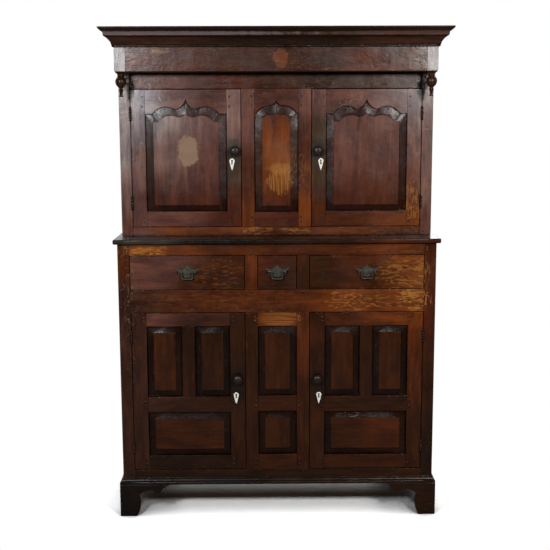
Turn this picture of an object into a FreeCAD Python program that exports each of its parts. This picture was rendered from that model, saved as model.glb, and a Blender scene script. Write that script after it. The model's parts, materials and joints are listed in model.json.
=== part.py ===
"""Oak court cupboard in two stages, frame and panel, with doors, drawers, locks and handles."""
import FreeCAD, Part
import math
import os
import Sketcher

# Driving dimensions in millimetres; a name that ends in share is a plain ratio.
SIZES = {
    # Lower stage
    "lower_width": 1194,
    "lower_depth": 500,
    "lower_stile_width": 44,
    "lower_stile_depth": 44,
    "foot_height": 127,
    "lower_bottom_rail_height": 56,
    "lower_door_opening_height": 618,
    "middle_rail_height": 86,
    "drawer_opening_height": 131,
    "lower_top_rail_height": 43.5,
    "waist_board_height": 18,
    "waist_board_overhang": 14.5,
    "lower_centre_half_width": 73.5,
    "lower_muntin_width": 47.5,
    "drawer_divider_width": 47,
    "lower_centre_top_rail_height": 54,
    "lower_centre_middle_rail_height": 61,
    "lower_centre_bottom_rail_height": 60,
    "lower_centre_low_panel_height": 172,
    # Upper stage
    "upper_width": 1183,
    "upper_setback": 107,
    "upper_stile_width": 41.5,
    "upper_stile_depth": 40,
    "upper_bottom_rail_height": 33.5,
    "upper_door_opening_height": 521,
    "upper_top_rail_height": 60,
    "upper_centre_half_width": 83.5,
    "upper_muntin_width": 48.5,
    "upper_centre_bottom_rail_height": 57,
    "upper_centre_top_rail_height": 90,
    # Frieze, cornice and pendants
    "frieze_height": 87,
    "frieze_setback": 14,
    "frieze_thickness": 28,
    "corner_block_width": 41,
    "cornice_height": 70,
    "cornice_projection": 51,
    "cornice_seat": 20,
    "pendant_drop": 91,
    "pendant_radius": 21,
    "pendant_peg_radius": 9,
    "pendant_peg_length": 30,
    # Frames and joints in the wood
    "frame_thickness": 26,
    "muntin_thickness": 24,
    "door_thickness": 24,
    "groove_front": 10.5,
    "groove_width": 8,
    "groove_depth": 8,
    "tongue_play": 0.15,
    "panel_play": 0.8,
    "panel_seat": 0.3,
    "field_setback": 1.5,
    "field_step": 2.5,
    "tenon_length": 22,
    "door_tenon_length": 38,
    "tenon_shoulder": 10,
    "peg_radius": 4,
    "peg_play": 0.05,
    "peg_proud": 0.6,
    "peg_length": 22,
    "peg_inset": 9.5,
    # Doors
    "door_gap": 2.25,
    "upper_door_stile_width": 53,
    "upper_door_bottom_rail_height": 58,
    "upper_door_top_rail_height": 91,
    "arch_height": 55,
    "lower_door_stile_width": 56,
    "lower_door_muntin_width": 48,
    "lower_door_bottom_rail_height": 55,
    "lower_door_low_panel_height": 172,
    "lower_door_middle_rail_height": 61,
    "lower_door_top_rail_height": 51,
    # Bevels of the raised panels
    "upper_side_bevel": 29,
    "upper_low_bevel": 23,
    "upper_high_bevel": 29,
    "upper_field_arch_height": 31,
    "centre_bevel": 29,
    "centre_low_bevel": 23,
    "centre_high_bevel": 16,
    "centre_arch_height": 45.5,
    "centre_field_arch_height": 13.5,
    "lower_panel_bevel": 25,
    "side_panel_bevel": 28,
    # Side frames
    "lower_side_bottom_rail_height": 70,
    "lower_side_top_rail_height": 52,
    "upper_side_bottom_rail_height": 70,
    "upper_side_top_rail_height": 68,
    "side_muntin_width": 60,
    # Back, floor and shelf
    "back_board_thickness": 12,
    "back_rail_thickness": 22,
    "upper_back_rail_height": 60,
    "back_board_gap": 0.3,
    "floor_thickness": 18,
    "floor_gap": 0.3,
    "shelf_height": 432,
    "shelf_setback": 46,
    "cleat_width": 20,
    "cleat_height": 20,
    "roof_thickness": 12,
    # Drawers
    "drawer_gap": 2,
    "drawer_low_gap": 1.5,
    "drawer_front_thickness": 20,
    "drawer_side_thickness": 12,
    "drawer_length": 420,
    "drawer_side_height": 112,
    "drawer_back_height": 96,
    "drawer_back_thickness": 11,
    "drawer_bottom_thickness": 8,
    "drawer_bottom_rise": 8,
    "drawer_bottom_groove": 4,
    "runner_play": 0.3,
    "runner_overlap": 30,
    "runner_height": 20,
    "guide_height": 22,
    "tail_length": 12,
    "tail_height": 26,
    "tail_neck_height": 16,
    # Base moulding and bracket feet
    "base_moulding_height": 26,
    "base_projection": 13,
    "foot_length": 193,
    "back_foot_length": 150,
    "foot_thickness": 22,
    "foot_block_width": 36,
    # Hinges
    "hinge_height": 50,
    "hinge_end_distance": 68,
    "knuckle_radius": 4,
    "knuckle_play": 0.3,
    "hinge_pin_radius": 1.6,
    "hinge_pin_play": 0.05,
    "hinge_axis_proud": 3,
    "hinge_leaf_thickness": 1.4,
    "hinge_leaf_depth": 18,
    # Locks
    "lock_width": 46,
    "lock_height": 64,
    "lock_thickness": 12,
    "lock_wall": 1.5,
    "bolt_height": 14,
    "bolt_thickness": 6,
    "bolt_length": 32,
    "bolt_inset": 2,
    "bolt_play": 0.3,
    "upper_keyhole_height": 1366,
    "lower_keyhole_height": 482,
    "upper_keyhole_inset": 34.25,
    "lower_keyhole_inset": 34.5,
    "keyhole_above_lock_foot": 36,
    "escutcheon_half_width": 8.8,
    "escutcheon_rise": 15.5,
    "escutcheon_fall": 32,
    "escutcheon_thickness": 2,
    "keyhole_radius": 3.4,
    "keyhole_slot_width": 4,
    "keyhole_foot_radius": 3.1,
    "keyhole_drop": 11.5,
    # Knobs with their turning buttons
    "upper_knob_height": 1402.5,
    "lower_knob_height": 543,
    "upper_knob_inset": 23,
    "lower_knob_inset": 28,
    "knob_radius": 19,
    "knob_length": 30,
    "knob_base_radius": 13,
    "knob_spindle_radius": 4.5,
    "knob_spindle_play": 0.1,
    "knob_stand_off": 0.2,
    "button_length": 60,
    "button_width": 15,
    "button_thickness": 10,
    "button_gap": 1,
    # Drawer handles
    "handle_height": 71,
    "handle_half_width": 44,
    "handle_rise": 25,
    "handle_fall": 22,
    "handle_plate_thickness": 1.6,
    "post_spacing": 29,
    "post_radius": 3.5,
    "post_head_radius": 6,
    "post_length": 11,
    "bail_half_width": 20,
    "bail_drop": 28,
    "bail_radius": 2.6,
    "bail_corner_radius": 8,
    "bail_pin_radius": 1.8,
    "bail_pin_play": 0.06,
}

# How many there are of what repeats
BACK_BOARD_COUNT = 6
FLOOR_BOARD_COUNT = 3
KNUCKLE_COUNT = 5

X_AXIS = FreeCAD.Vector(1, 0, 0)
Y_AXIS = FreeCAD.Vector(0, 1, 0)
Z_AXIS = FreeCAD.Vector(0, 0, 1)
QUARTER = 90

doc = FreeCAD.newDocument("court_cupboard")
sheet = doc.addObject("Spreadsheet::Sheet", "sizes")
for row, (alias, number) in enumerate(SIZES.items(), start=1):
    sheet.set(f"A{row}", alias)
    sheet.set(f"B{row}", str(number))
    sheet.setAlias(f"B{row}", alias)
doc.recompute()


class Size:
    """A length with the expression that works it out from the sheet."""

    def __init__(self, value, text):
        self.value = value
        self.text = text

    def __add__(self, other):
        other = as_size(other)
        return Size(self.value + other.value, f"({self.text} + {other.text})")

    def __sub__(self, other):
        other = as_size(other)
        return Size(self.value - other.value, f"({self.text} - {other.text})")

    def __mul__(self, other):
        other = as_size(other)
        return Size(self.value * other.value, f"({self.text} * {other.text})")

    def __truediv__(self, other):
        other = as_size(other)
        return Size(self.value / other.value, f"({self.text} / {other.text})")

    def __neg__(self):
        return Size(-self.value, f"(0 - {self.text})")

    def root(self):
        """The square root."""
        return Size(math.sqrt(self.value), f"sqrt({self.text})")

    __radd__ = __add__
    __rmul__ = __mul__


def as_size(number):
    """A plain number as a size."""
    if isinstance(number, Size):
        return number
    return Size(float(number), f"({float(number):.9f})")


class Sheet:
    """Reads the sheet's cells by name."""

    def __getattr__(self, name):
        return Size(float(sheet.get(name)), f"sizes.{name}")


S = Sheet()
ZERO = as_size(0)

# Levels, from the floor up
LOWER_BOTTOM = S.foot_height
LOWER_FLOOR = LOWER_BOTTOM + S.lower_bottom_rail_height
LOWER_DOOR_TOP = LOWER_FLOOR + S.lower_door_opening_height
DRAWER_FLOOR = LOWER_DOOR_TOP + S.middle_rail_height
DRAWER_TOP = DRAWER_FLOOR + S.drawer_opening_height
LOWER_TOP = DRAWER_TOP + S.lower_top_rail_height
UPPER_BOTTOM = LOWER_TOP + S.waist_board_height
UPPER_FLOOR = UPPER_BOTTOM + S.upper_bottom_rail_height
UPPER_DOOR_TOP = UPPER_FLOOR + S.upper_door_opening_height
UPPER_TOP = UPPER_DOOR_TOP + S.upper_top_rail_height
FRIEZE_TOP = UPPER_TOP + S.frieze_height

# Planes, from the front to the back: the cornice is the foremost piece
LOWER_FRONT = (S.cornice_projection - S.frieze_setback - S.lower_depth) / 2
UPPER_FRONT = LOWER_FRONT + S.upper_setback
FRIEZE_FRONT = LOWER_FRONT + S.frieze_setback
BACK = LOWER_FRONT + S.lower_depth
BACK_BOARD_FRONT = BACK - S.back_board_thickness
BACK_RAIL_FRONT = BACK_BOARD_FRONT - S.back_rail_thickness

# Places across the front, on the right half
LOWER_HALF = S.lower_width / 2
UPPER_HALF = S.upper_width / 2
LOWER_STILE_EDGE = LOWER_HALF - S.lower_stile_width
UPPER_STILE_EDGE = UPPER_HALF - S.upper_stile_width
LOWER_MUNTIN_EDGE = S.lower_centre_half_width + S.lower_muntin_width
UPPER_MUNTIN_EDGE = S.upper_centre_half_width + S.upper_muntin_width
DIVIDER_EDGE = LOWER_MUNTIN_EDGE - S.drawer_divider_width


def bind(thing, prop, size):
    """Ties a property to the sheet."""
    thing.setExpression(prop, as_size(size).text)


def scaled(shares, across, along):
    """An outline from its table: shares across and along and, for an arc after it, a bulge share."""
    return [(across * share[0], along * share[1]) + tuple(share[2:]) for share in shares]


def place(thing, x=ZERO, y=ZERO, z=ZERO, axis=Z_AXIS, angle=0):
    """Turns a piece about its own origin and puts that origin at x, y, z."""
    thing.Placement = FreeCAD.Placement(FreeCAD.Vector(), FreeCAD.Rotation(axis, angle))
    bind(thing, "Placement.Base.x", x)
    bind(thing, "Placement.Base.y", y)
    bind(thing, "Placement.Base.z", z)
    return thing


def box(name, x, y, z):
    """A block between two places along each axis."""
    block = doc.addObject("Part::Box", name)
    bind(block, "Length", x[1] - x[0])
    bind(block, "Width", y[1] - y[0])
    bind(block, "Height", z[1] - z[0])
    return place(block, x[0], y[0], z[0])


def rod(name, radius, length, x, y, z, axis=Z_AXIS, angle=0):
    """A round bar that starts at x, y, z, upright before it is turned."""
    bar = doc.addObject("Part::Cylinder", name)
    bind(bar, "Radius", radius)
    bind(bar, "Height", length)
    return place(bar, x, y, z, axis, angle)


def ball(name, radius, x, y, z):
    """A ball about x, y, z."""
    sphere = doc.addObject("Part::Sphere", name)
    bind(sphere, "Radius", radius)
    return place(sphere, x, y, z)


def taper(name, near, far, depth):
    """A block whose near and far faces, square to Y, differ: each is its x range and z range."""
    wedge = doc.addObject("Part::Wedge", name)
    bind(wedge, "Ymin", depth[0])
    bind(wedge, "Ymax", depth[1])
    bind(wedge, "Xmin", near[0][0])
    bind(wedge, "Xmax", near[0][1])
    bind(wedge, "Zmin", near[1][0])
    bind(wedge, "Zmax", near[1][1])
    bind(wedge, "X2min", far[0][0])
    bind(wedge, "X2max", far[0][1])
    bind(wedge, "Z2min", far[1][0])
    bind(wedge, "Z2max", far[1][1])
    return wedge


def join(name, pieces):
    """Pieces made into one solid."""
    union = doc.addObject("Part::MultiFuse", name)
    union.Shapes = pieces
    union.Refine = True
    return union


def cut(name, base, tools):
    """A piece with the tools taken out of it."""
    result = doc.addObject("Part::Cut", name)
    result.Base = base
    result.Tool = tools[0] if len(tools) == 1 else join(name + "_tools", tools)
    return result


def overlap(name, first, second):
    """What two pieces have in common."""
    common = doc.addObject("Part::MultiCommon", name)
    common.Shapes = [first, second]
    return common


def group(name, pieces):
    """Separate solids kept together."""
    compound = doc.addObject("Part::Compound", name)
    compound.Links = pieces
    return compound


def mirror(name, piece):
    """The same piece on the left half."""
    twin = doc.addObject("Part::Mirroring", name)
    twin.Source = piece
    twin.Normal = X_AXIS
    twin.Base = FreeCAD.Vector()
    return twin


def both(name, piece):
    """A piece on the right half with its twin on the left half."""
    return group(name, [piece, mirror(name + "_twin", piece)])


nodes = []


def node(name, pieces):
    """A finished sub-part, which gets a file of its own."""
    part = group(name, pieces)
    part.Label = name
    nodes.append(part)
    return part


def backwards(points):
    """The same open line run from its other end."""
    line = []
    for index in range(len(points) - 1, -1, -1):
        bulge = points[index - 1][2:] if index > 0 else ()
        line.append(tuple(points[index][:2]) + tuple(-share for share in bulge))
    return line


def flipped(points):
    """The same line mirrored from left to right."""
    return [(-as_size(point[0]), point[1]) + tuple(-share for share in point[2:]) for point in points]


def closed_sketch(body, role, points, offset=None):
    """A closed outline: each point is u, v and, for an arc after it, a bulge share.

    The bulge is the arc's rise over half its chord, positive to the left of the way along.
    """
    sketch = body.newObject("Sketcher::SketchObject", body.Name + "_outline")
    plane = next(part for part in body.Origin.OriginFeatures if part.Role == role)
    sketch.AttachmentSupport = [(plane, "")]
    sketch.MapMode = "FlatFace"
    if offset is not None:
        bind(sketch, "AttachmentOffset.Base.z", offset)
    places = [FreeCAD.Vector(as_size(point[0]).value, as_size(point[1]).value, 0) for point in points]
    edges = []
    for index, point in enumerate(points):
        start = places[index]
        end = places[(index + 1) % len(points)]
        if len(point) == 3:
            chord = end - start
            left = FreeCAD.Vector(-chord.y, chord.x, 0)
            middle = (start + end) / 2 + left * (point[2] / 2)
            edges.append(sketch.addGeometry(Part.Arc(start, middle, end)))
        else:
            edges.append(sketch.addGeometry(Part.LineSegment(start, end)))

    def end_at(edge, spot):
        near_start = sketch.getPoint(edge, 1).distanceToPoint(spot)
        near_end = sketch.getPoint(edge, 2).distanceToPoint(spot)
        return 1 if near_start < near_end else 2

    rules = []
    names = []
    for index, edge in enumerate(edges):
        following = (index + 1) % len(edges)
        corner = places[following]
        rules.append(Sketcher.Constraint("Coincident", edge, end_at(edge, corner),
                                         edges[following], end_at(edges[following], corner)))
        names.append(None)
    for index, edge in enumerate(edges):
        point = [as_size(number) for number in points[index][:2]]
        for kind, size in (("DistanceX", point[0]), ("DistanceY", point[1])):
            rules.append(Sketcher.Constraint(kind, edge, end_at(edge, places[index]), size.value))
            names.append((f"{kind}_{index}", size))
        if len(points[index]) == 3:
            following = points[(index + 1) % len(points)]
            across = as_size(following[0]) - point[0]
            along = as_size(following[1]) - point[1]
            bulge = abs(points[index][2])
            radius_share = (1 + bulge * bulge) / (4 * bulge)
            radius = (across * across + along * along).root() * radius_share
            rules.append(Sketcher.Constraint("Radius", edge, radius.value))
            names.append((f"Radius_{index}", radius))
    sketch.addConstraint(rules)
    for index, named in enumerate(names):
        if named is not None:
            sketch.renameConstraint(index, named[0])
    for named in names:
        if named is not None:
            bind(sketch, "Constraints." + named[0], named[1])
    return sketch


def pad(name, role, points, length):
    """An outline made solid: backwards from the XZ plane, up from XY and to +X from YZ."""
    body = doc.addObject("PartDesign::Body", name)
    sketch = closed_sketch(body, role, points)
    feature = body.newObject("PartDesign::Pad", name + "_pad")
    feature.Profile = sketch
    feature.Reversed = role == "XZ_Plane"
    bind(feature, "Length", length)
    return body


def turning(name, points):
    """A turned piece: the outline gives the radius and the place along its upright axis."""
    body = doc.addObject("PartDesign::Body", name)
    sketch = closed_sketch(body, "XZ_Plane", points)
    feature = body.newObject("PartDesign::Revolution", name + "_turning")
    feature.Profile = sketch
    feature.ReferenceAxis = (sketch, ["V_Axis"])
    return body


def bevel_and_field(name, outer, inner, far, middle, near):
    """A raised panel's front: a bevel from the outer outline to the inner one, and the field."""
    body = doc.addObject("PartDesign::Body", name)
    outer_sketch = closed_sketch(body, "XZ_Plane", outer, -far)
    inner_sketch = closed_sketch(body, "XZ_Plane", inner, -middle)
    loft = body.newObject("PartDesign::AdditiveLoft", name + "_bevel")
    loft.Profile = outer_sketch
    loft.Sections = [inner_sketch]
    loft.Ruled = True
    field = body.newObject("PartDesign::Pad", name + "_field")
    field.Profile = inner_sketch
    bind(field, "Length", middle - near)
    return body


class Face:
    """A face of the case, which gives places along it, behind it and up it."""

    def __init__(self, plane, side=False):
        self.plane = plane
        self.side = side

    def box(self, name, along, depth, z):
        """A block by its place along the face, its depth behind the face and its height."""
        if self.side:
            return box(name, (self.plane - depth[1], self.plane - depth[0]), along, z)
        return box(name, along, (self.plane + depth[0], self.plane + depth[1]), z)

    def rod(self, name, radius, along, depth, z):
        """A round bar square to the face."""
        length = depth[1] - depth[0]
        if self.side:
            return rod(name, radius, length, self.plane - depth[0], along, z, Y_AXIS, -QUARTER)
        return rod(name, radius, length, along, self.plane + depth[0], z, X_AXIS, -QUARTER)


# Shares of a rail tenon's height at which its pegs stand
PEG_SHARES = (0.25, 0.75)
NARROW_RAIL_PEG_SHARES = (0.5,)


class Frame:
    """Stiles, rails and muntins of one face, with their tenons, grooves and pegs."""

    def __init__(self, name, face, thickness, tenon):
        self.name = name
        self.face = face
        self.thickness = thickness
        self.tenon = tenon
        self.uprights = {}
        self.rails = {}
        self.muntins = {}
        self.rail_tenons = []
        self.muntin_tenons = []
        self.hollows = []
        self.pegs = []

    def joint_depth(self):
        """How deep behind the face the tenons and grooves lie."""
        return (S.groove_front, S.groove_front + S.groove_width)

    def upright(self, name, along, z):
        """A muntin's block and its tenons, above and below."""
        block = self.face.box(f"{self.name}_{name}", along, (ZERO, self.thickness), z)
        width = (along[0] + S.tenon_shoulder, along[1] - S.tenon_shoulder)
        length = (z[0] - S.tenon_length, z[1] + S.tenon_length)
        tenon = self.face.box(f"{self.name}_{name}_tenon", width, self.joint_depth(), length)
        self.muntin_tenons.append(tenon)
        for index, level in enumerate((z[0] - S.peg_inset, z[1] + S.peg_inset)):
            self.peg(f"{name}_peg_{index}", (along[0] + along[1]) / 2, level, S.peg_proud)
        return join(f"{self.name}_{name}_tenoned", [block, tenon])

    def stile(self, name, along, z, thickness=None):
        """An upright that takes the rails' tenons."""
        depth = (ZERO, thickness or self.thickness)
        self.uprights[name] = self.face.box(f"{self.name}_{name}", along, depth, z)

    def post(self, name, along, z):
        """A muntin that takes the rails' tenons, and has tenons of its own."""
        self.uprights[name] = self.upright(name, along, z)

    def muntin(self, name, along, z):
        """An upright between two rails that takes no tenon."""
        self.muntins[name] = self.upright(name, along, z)

    def rail(self, name, along, z, core=None, covered=False, pegs=PEG_SHARES):
        """A level member with a pegged tenon at each end; the pegs are flush where it is covered."""
        block = core or self.face.box(f"{self.name}_{name}", along, (ZERO, self.thickness), z)
        low = z[0] + S.tenon_shoulder
        high = z[1] - S.tenon_shoulder
        length = (along[0] - self.tenon, along[1] + self.tenon)
        tenon = self.face.box(f"{self.name}_{name}_tenon", length, self.joint_depth(), (low, high))
        if core is not None:
            ends = ((length[0], along[0] + S.tenon_shoulder), (along[1] - S.tenon_shoulder, length[1]))
            tenon = group(f"{self.name}_{name}_tenons", [
                self.face.box(f"{self.name}_{name}_tenon_{index}", end, self.joint_depth(), (low, high))
                for index, end in enumerate(ends)])
        self.rail_tenons.append(tenon)
        self.rails[name] = join(f"{self.name}_{name}_tenoned", [block, tenon])
        proud = ZERO if covered else S.peg_proud
        for side, spot in enumerate((along[0] - S.peg_inset, along[1] + S.peg_inset)):
            for index, share in enumerate(pegs):
                self.peg(f"{name}_peg_{side}_{index}", spot, low + (high - low) * share, proud)

    def peg(self, name, along, level, proud):
        """A round oak peg through a joint, which may stand a little proud of the face."""
        hole_depth = (-proud, S.peg_length)
        hole_radius = S.peg_radius + S.peg_play
        self.hollows.append(self.face.rod(f"{self.name}_{name}_hole", hole_radius, along, hole_depth, level))
        self.pegs.append(self.face.rod(f"{self.name}_{name}", S.peg_radius, along, hole_depth, level))

    def groove(self, name, along, z):
        """The groove round an opening that takes the panel's tongue."""
        around = (along[0] - S.groove_depth, along[1] + S.groove_depth)
        height = (z[0] - S.groove_depth, z[1] + S.groove_depth)
        tool = self.face.box(f"{self.name}_{name}_groove", around, self.joint_depth(), height)
        self.hollows.append(tool)

    def finished(self, members, tenons, extra):
        """Members with their mortises, grooves, peg holes and extra hollows cut."""
        tool = join(self.name + "_tools", tenons + self.hollows + list(extra))
        return [cut(f"{self.name}_{name}_cut", member, [tool]) for name, member in members.items()]

    def finished_uprights(self, extra=()):
        """The stiles and posts."""
        return self.finished(self.uprights, self.rail_tenons, extra)

    def finished_rails(self, extra=()):
        """The rails and the muntins between them."""
        rails = self.finished(self.rails, self.muntin_tenons, extra)
        return rails + self.finished(self.muntins, [], extra)


def raised_panel(name, face, along, z, bevel, arch=None, shares=None):
    """A panel with a tongue in the frame's groove, a bevel all round and a raised field."""
    reach = S.groove_depth - S.panel_play
    tongue_depth = (S.groove_front + S.tongue_play, S.groove_front + S.groove_width - S.tongue_play)
    width = (along[0] - reach, along[1] + reach)
    height = (z[0] - S.groove_depth + S.panel_seat, z[1] + reach)
    tongue = face.box(name + "_tongue", width, tongue_depth, height)
    middle = S.field_setback + S.field_step
    if arch is not None:
        head = arch_head(name, face, along, z[1], arch, tongue_depth, S.panel_play)
        centre = (along[0] + along[1]) / 2
        outer = arched_outline(along, z, arch[0], shares["opening"], centre)
        inner_along = (along[0] + bevel[0], along[1] - bevel[0])
        inner_z = (z[0] + bevel[1], z[1] - bevel[2])
        inner = arched_outline(inner_along, inner_z, arch[1], shares["field"], centre)
        front = bevel_and_field(name + "_front", outer, inner, tongue_depth[0], middle, S.field_setback)
        place(front, ZERO, face.plane, ZERO)
        return join(name, [tongue, head, front])
    near = ((along[0] + bevel[0], along[1] - bevel[0]), (z[0] + bevel[1], z[1] - bevel[2]))
    slope = taper(name + "_bevel", near, (along, z), (middle, tongue_depth[0]))
    if face.side:
        place(slope, face.plane, ZERO, ZERO, Z_AXIS, QUARTER)
    else:
        place(slope, ZERO, face.plane, ZERO)
    field = face.box(name + "_field", near[0], (S.field_setback, middle), near[1])
    return join(name, [tongue, slope, field])


# Shares of half the width and of the arch's height, from the shoulder to the middle
DOOR_ARCH_SHARES = {
    "opening": {"flat": (0.82, 0.0), "trough": (0.25, 0.29), "lobe": 0.42, "cusp": 0.28},
    "field": {"flat": (0.84, 0.0), "trough": (0.25, 0.55), "lobe": 0.38, "cusp": 0.2},
}
CENTRE_ARCH_SHARES = {
    "opening": {"flat": (0.92, 0.0), "trough": (0.2, 0.62), "lobe": 0.28, "cusp": 0.2},
    "field": {"flat": (0.9, 0.0), "trough": (0.25, 0.62), "lobe": 0.28, "cusp": 0.12},
}
ARCH_HEAD_SHARE = 0.9


def arch_points(half, level, height, shares, centre):
    """The ogee head of a panel from its right shoulder to its left one."""
    flat = shares["flat"]
    trough = shares["trough"]
    lobe = shares["lobe"]
    cusp = shares["cusp"]
    return [
        (centre + half, level),
        (centre + half * flat[0], level + height * flat[1], -lobe),
        (centre + half * trough[0], level + height * trough[1], cusp),
        (centre, level + height, cusp),
        (centre - half * trough[0], level + height * trough[1], -lobe),
        (centre - half * flat[0], level + height * flat[1]),
        (centre - half, level),
    ]


def arched_outline(along, z, height, shares, centre):
    """A panel's outline with the ogee head, counter-clockwise from its lower left corner."""
    half = (along[1] - along[0]) / 2
    return [(along[0], z[0]), (along[1], z[0])] + arch_points(half, z[1], height, shares, centre)


def arch_head(name, face, along, level, arch, depth, play):
    """The part of the tongue, or of its groove, that stands up behind the arch."""
    half = (along[1] - along[0]) / 2 * ARCH_HEAD_SHARE - play
    centre = (along[0] + along[1]) / 2
    reach = S.groove_depth - play
    return face.box(name + "_head", (centre - half, centre + half), depth, (level, level + arch[0] + reach))


def arched_rail(name, face, along, z, height, shares, thickness):
    """A top rail whose lower edge follows the ogee arch."""
    half = (along[1] - along[0]) / 2
    centre = (along[0] + along[1]) / 2
    lower_edge = backwards(arch_points(half, z[0], height, shares["opening"], centre))
    outline = [(along[0], z[1])] + lower_edge + [(along[1], z[1])]
    body = pad(name, "XZ_Plane", outline, thickness)
    return place(body, ZERO, face.plane, ZERO)


# Shares of the knob's foot radius and length, then of its head's radius and length
KNOB_FOOT_SHARES = (
    (0.0, 0.0),
    (1.0, 0.0, -0.5),
    (0.85, 0.14, 0.3),
    (0.62, 0.3, 0.25),
)
KNOB_HEAD_SHARES = (
    (0.86, 0.5, -0.45),
    (0.8, 0.88, -0.16),
    (0.1, 1.0),
    (0.0, 1.0),
)

# Shares of the pendant's radius and drop, with its lowest point first
PENDANT_SHARES = (
    (0.0, 0.0),
    (0.0, -1.0),
    (0.33, -1.0, -0.5),
    (0.33, -0.955),
    (0.24, -0.93),
    (0.34, -0.76, -0.8),
    (0.34, -0.7),
    (0.3, -0.66),
    (0.45, -0.62, -0.25),
    (0.98, -0.38, -0.25),
    (0.52, -0.2),
    (0.62, -0.19, -0.6),
    (0.62, -0.155),
    (0.55, -0.15, 0.25),
    (1.0, -0.025),
    (1.0, 0.0),
)

# Shares of the cornice's projection and height, from its foot to its top
CORNICE_SHARES = (
    (0.06, 0.0, -0.6),
    (0.11, 0.09),
    (0.15, 0.11),
    (0.18, 0.22, 0.14),
    (0.6, 0.53),
    (0.64, 0.56),
    (0.67, 0.73, -0.12),
    (1.0, 0.94),
    (1.0, 1.0),
)

# Shares of the base moulding's projection and height, from its foot to its top
BASE_SHARES = (
    (0.0, 0.0),
    (1.0, 0.0),
    (1.0, 0.25, -0.3),
    (0.72, 0.45, 0.3),
    (0.28, 0.84),
    (0.22, 1.0),
    (0.0, 1.0),
)


def knob_profile():
    """The turned knob from its foot at zero to its round head."""
    foot = scaled(KNOB_FOOT_SHARES, S.knob_base_radius, S.knob_length)
    return foot + scaled(KNOB_HEAD_SHARES, S.knob_radius, S.knob_length)


def cornice_profile():
    """The cornice as outward place and height above the frieze."""
    face = scaled(CORNICE_SHARES, S.cornice_projection, S.cornice_height)
    return [(-S.cornice_seat, ZERO)] + face + [(-S.cornice_seat, S.cornice_height)]


def moulding_run(name, profile, seat, along, mitred):
    """A moulding along X that faces -Y, with its ends mitred where it turns a corner."""
    body = pad(name + "_run", "YZ_Plane", flipped(profile), along[1] - along[0])
    place(body, along[0], ZERO, ZERO)
    reach = max((as_size(point[0]) for point in profile), key=lambda size: size.value)
    top = max((as_size(point[1]) for point in profile), key=lambda size: size.value)
    inner = (along[0] + (reach + seat) * mitred[0], along[1] - (reach + seat) * mitred[1])
    plan = taper(name + "_plan", (along, (ZERO, top)), (inner, (ZERO, top)), (-reach, seat))
    return overlap(name, body, plan)


def moulding_round(name, profile, seat, half, front, z):
    """A moulding round the front and the two sides of the case."""
    reach = max((as_size(point[0]) for point in profile), key=lambda size: size.value)
    across = (-(half + reach), half + reach)
    front_run = group(name + "_front", [moulding_run(name + "_front_run", profile, seat, across, (1, 1))])
    place(front_run, ZERO, front, z)
    along = (front - reach, BACK)
    side_run = group(name + "_side", [moulding_run(name + "_side_run", profile, seat, along, (1, 0))])
    place(side_run, half, ZERO, z, Z_AXIS, QUARTER)
    return [front_run, side_run, mirror(name + "_left_side", side_run)]


FRONT_LOWER = Face(LOWER_FRONT)
FRONT_UPPER = Face(UPPER_FRONT)
SIDE_LOWER = Face(LOWER_HALF, side=True)
SIDE_UPPER = Face(UPPER_HALF, side=True)


def lower_front():
    """The lower stage's front frame with its fixed centre."""
    frame = Frame("lower_front", FRONT_LOWER, S.frame_thickness, S.tenon_length)
    edge = LOWER_STILE_EDGE
    frame.stile("stile", (edge, LOWER_HALF), (LOWER_BOTTOM, LOWER_TOP), S.lower_stile_depth)
    frame.rail("top_rail", (-edge, edge), (DRAWER_TOP, LOWER_TOP))
    frame.rail("middle_rail", (-edge, edge), (LOWER_DOOR_TOP, DRAWER_FLOOR))
    frame.rail("bottom_rail", (-edge, edge), (LOWER_BOTTOM, LOWER_FLOOR), covered=True)
    frame.muntin("divider", (DIVIDER_EDGE, LOWER_MUNTIN_EDGE), (DRAWER_FLOOR, DRAWER_TOP))
    frame.muntin("left_divider", (-LOWER_MUNTIN_EDGE, -DIVIDER_EDGE), (DRAWER_FLOOR, DRAWER_TOP))
    return frame


def lower_centre(parent):
    """The two muntins, three short rails and two panels between the lower doors."""
    frame = Frame("lower_centre", FRONT_LOWER, S.muntin_thickness, S.tenon_length)
    half = S.lower_centre_half_width
    edge = LOWER_MUNTIN_EDGE
    low_panel = (LOWER_FLOOR + S.lower_centre_bottom_rail_height,
                 LOWER_FLOOR + S.lower_centre_bottom_rail_height + S.lower_centre_low_panel_height)
    high_panel = (low_panel[1] + S.lower_centre_middle_rail_height,
                  LOWER_DOOR_TOP - S.lower_centre_top_rail_height)
    frame.post("right_muntin", (half, edge), (LOWER_FLOOR, LOWER_DOOR_TOP))
    frame.post("left_muntin", (-edge, -half), (LOWER_FLOOR, LOWER_DOOR_TOP))
    across = (-half, half)
    frame.rail("top_rail", across, (high_panel[1], LOWER_DOOR_TOP))
    frame.rail("middle_rail", across, (low_panel[1], high_panel[0]))
    frame.rail("bottom_rail", across, (LOWER_FLOOR, low_panel[0]))
    frame.groove("low", across, low_panel)
    frame.groove("high", across, high_panel)
    bevel = (S.lower_panel_bevel, S.lower_panel_bevel, S.lower_panel_bevel)
    panels = [raised_panel("lower_centre_low_panel", FRONT_LOWER, across, low_panel, bevel),
              raised_panel("lower_centre_high_panel", FRONT_LOWER, across, high_panel, bevel)]
    parent.hollows += frame.muntin_tenons + frame.hollows
    return frame, panels


def upper_front():
    """The upper stage's front frame."""
    frame = Frame("upper_front", FRONT_UPPER, S.frame_thickness, S.tenon_length)
    edge = UPPER_STILE_EDGE
    frame.stile("stile", (edge, UPPER_HALF), (UPPER_BOTTOM, UPPER_TOP), S.upper_stile_depth)
    frame.rail("top_rail", (-edge, edge), (UPPER_DOOR_TOP, UPPER_TOP))
    frame.rail("bottom_rail", (-edge, edge), (UPPER_BOTTOM, UPPER_FLOOR), pegs=NARROW_RAIL_PEG_SHARES)
    return frame


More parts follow.
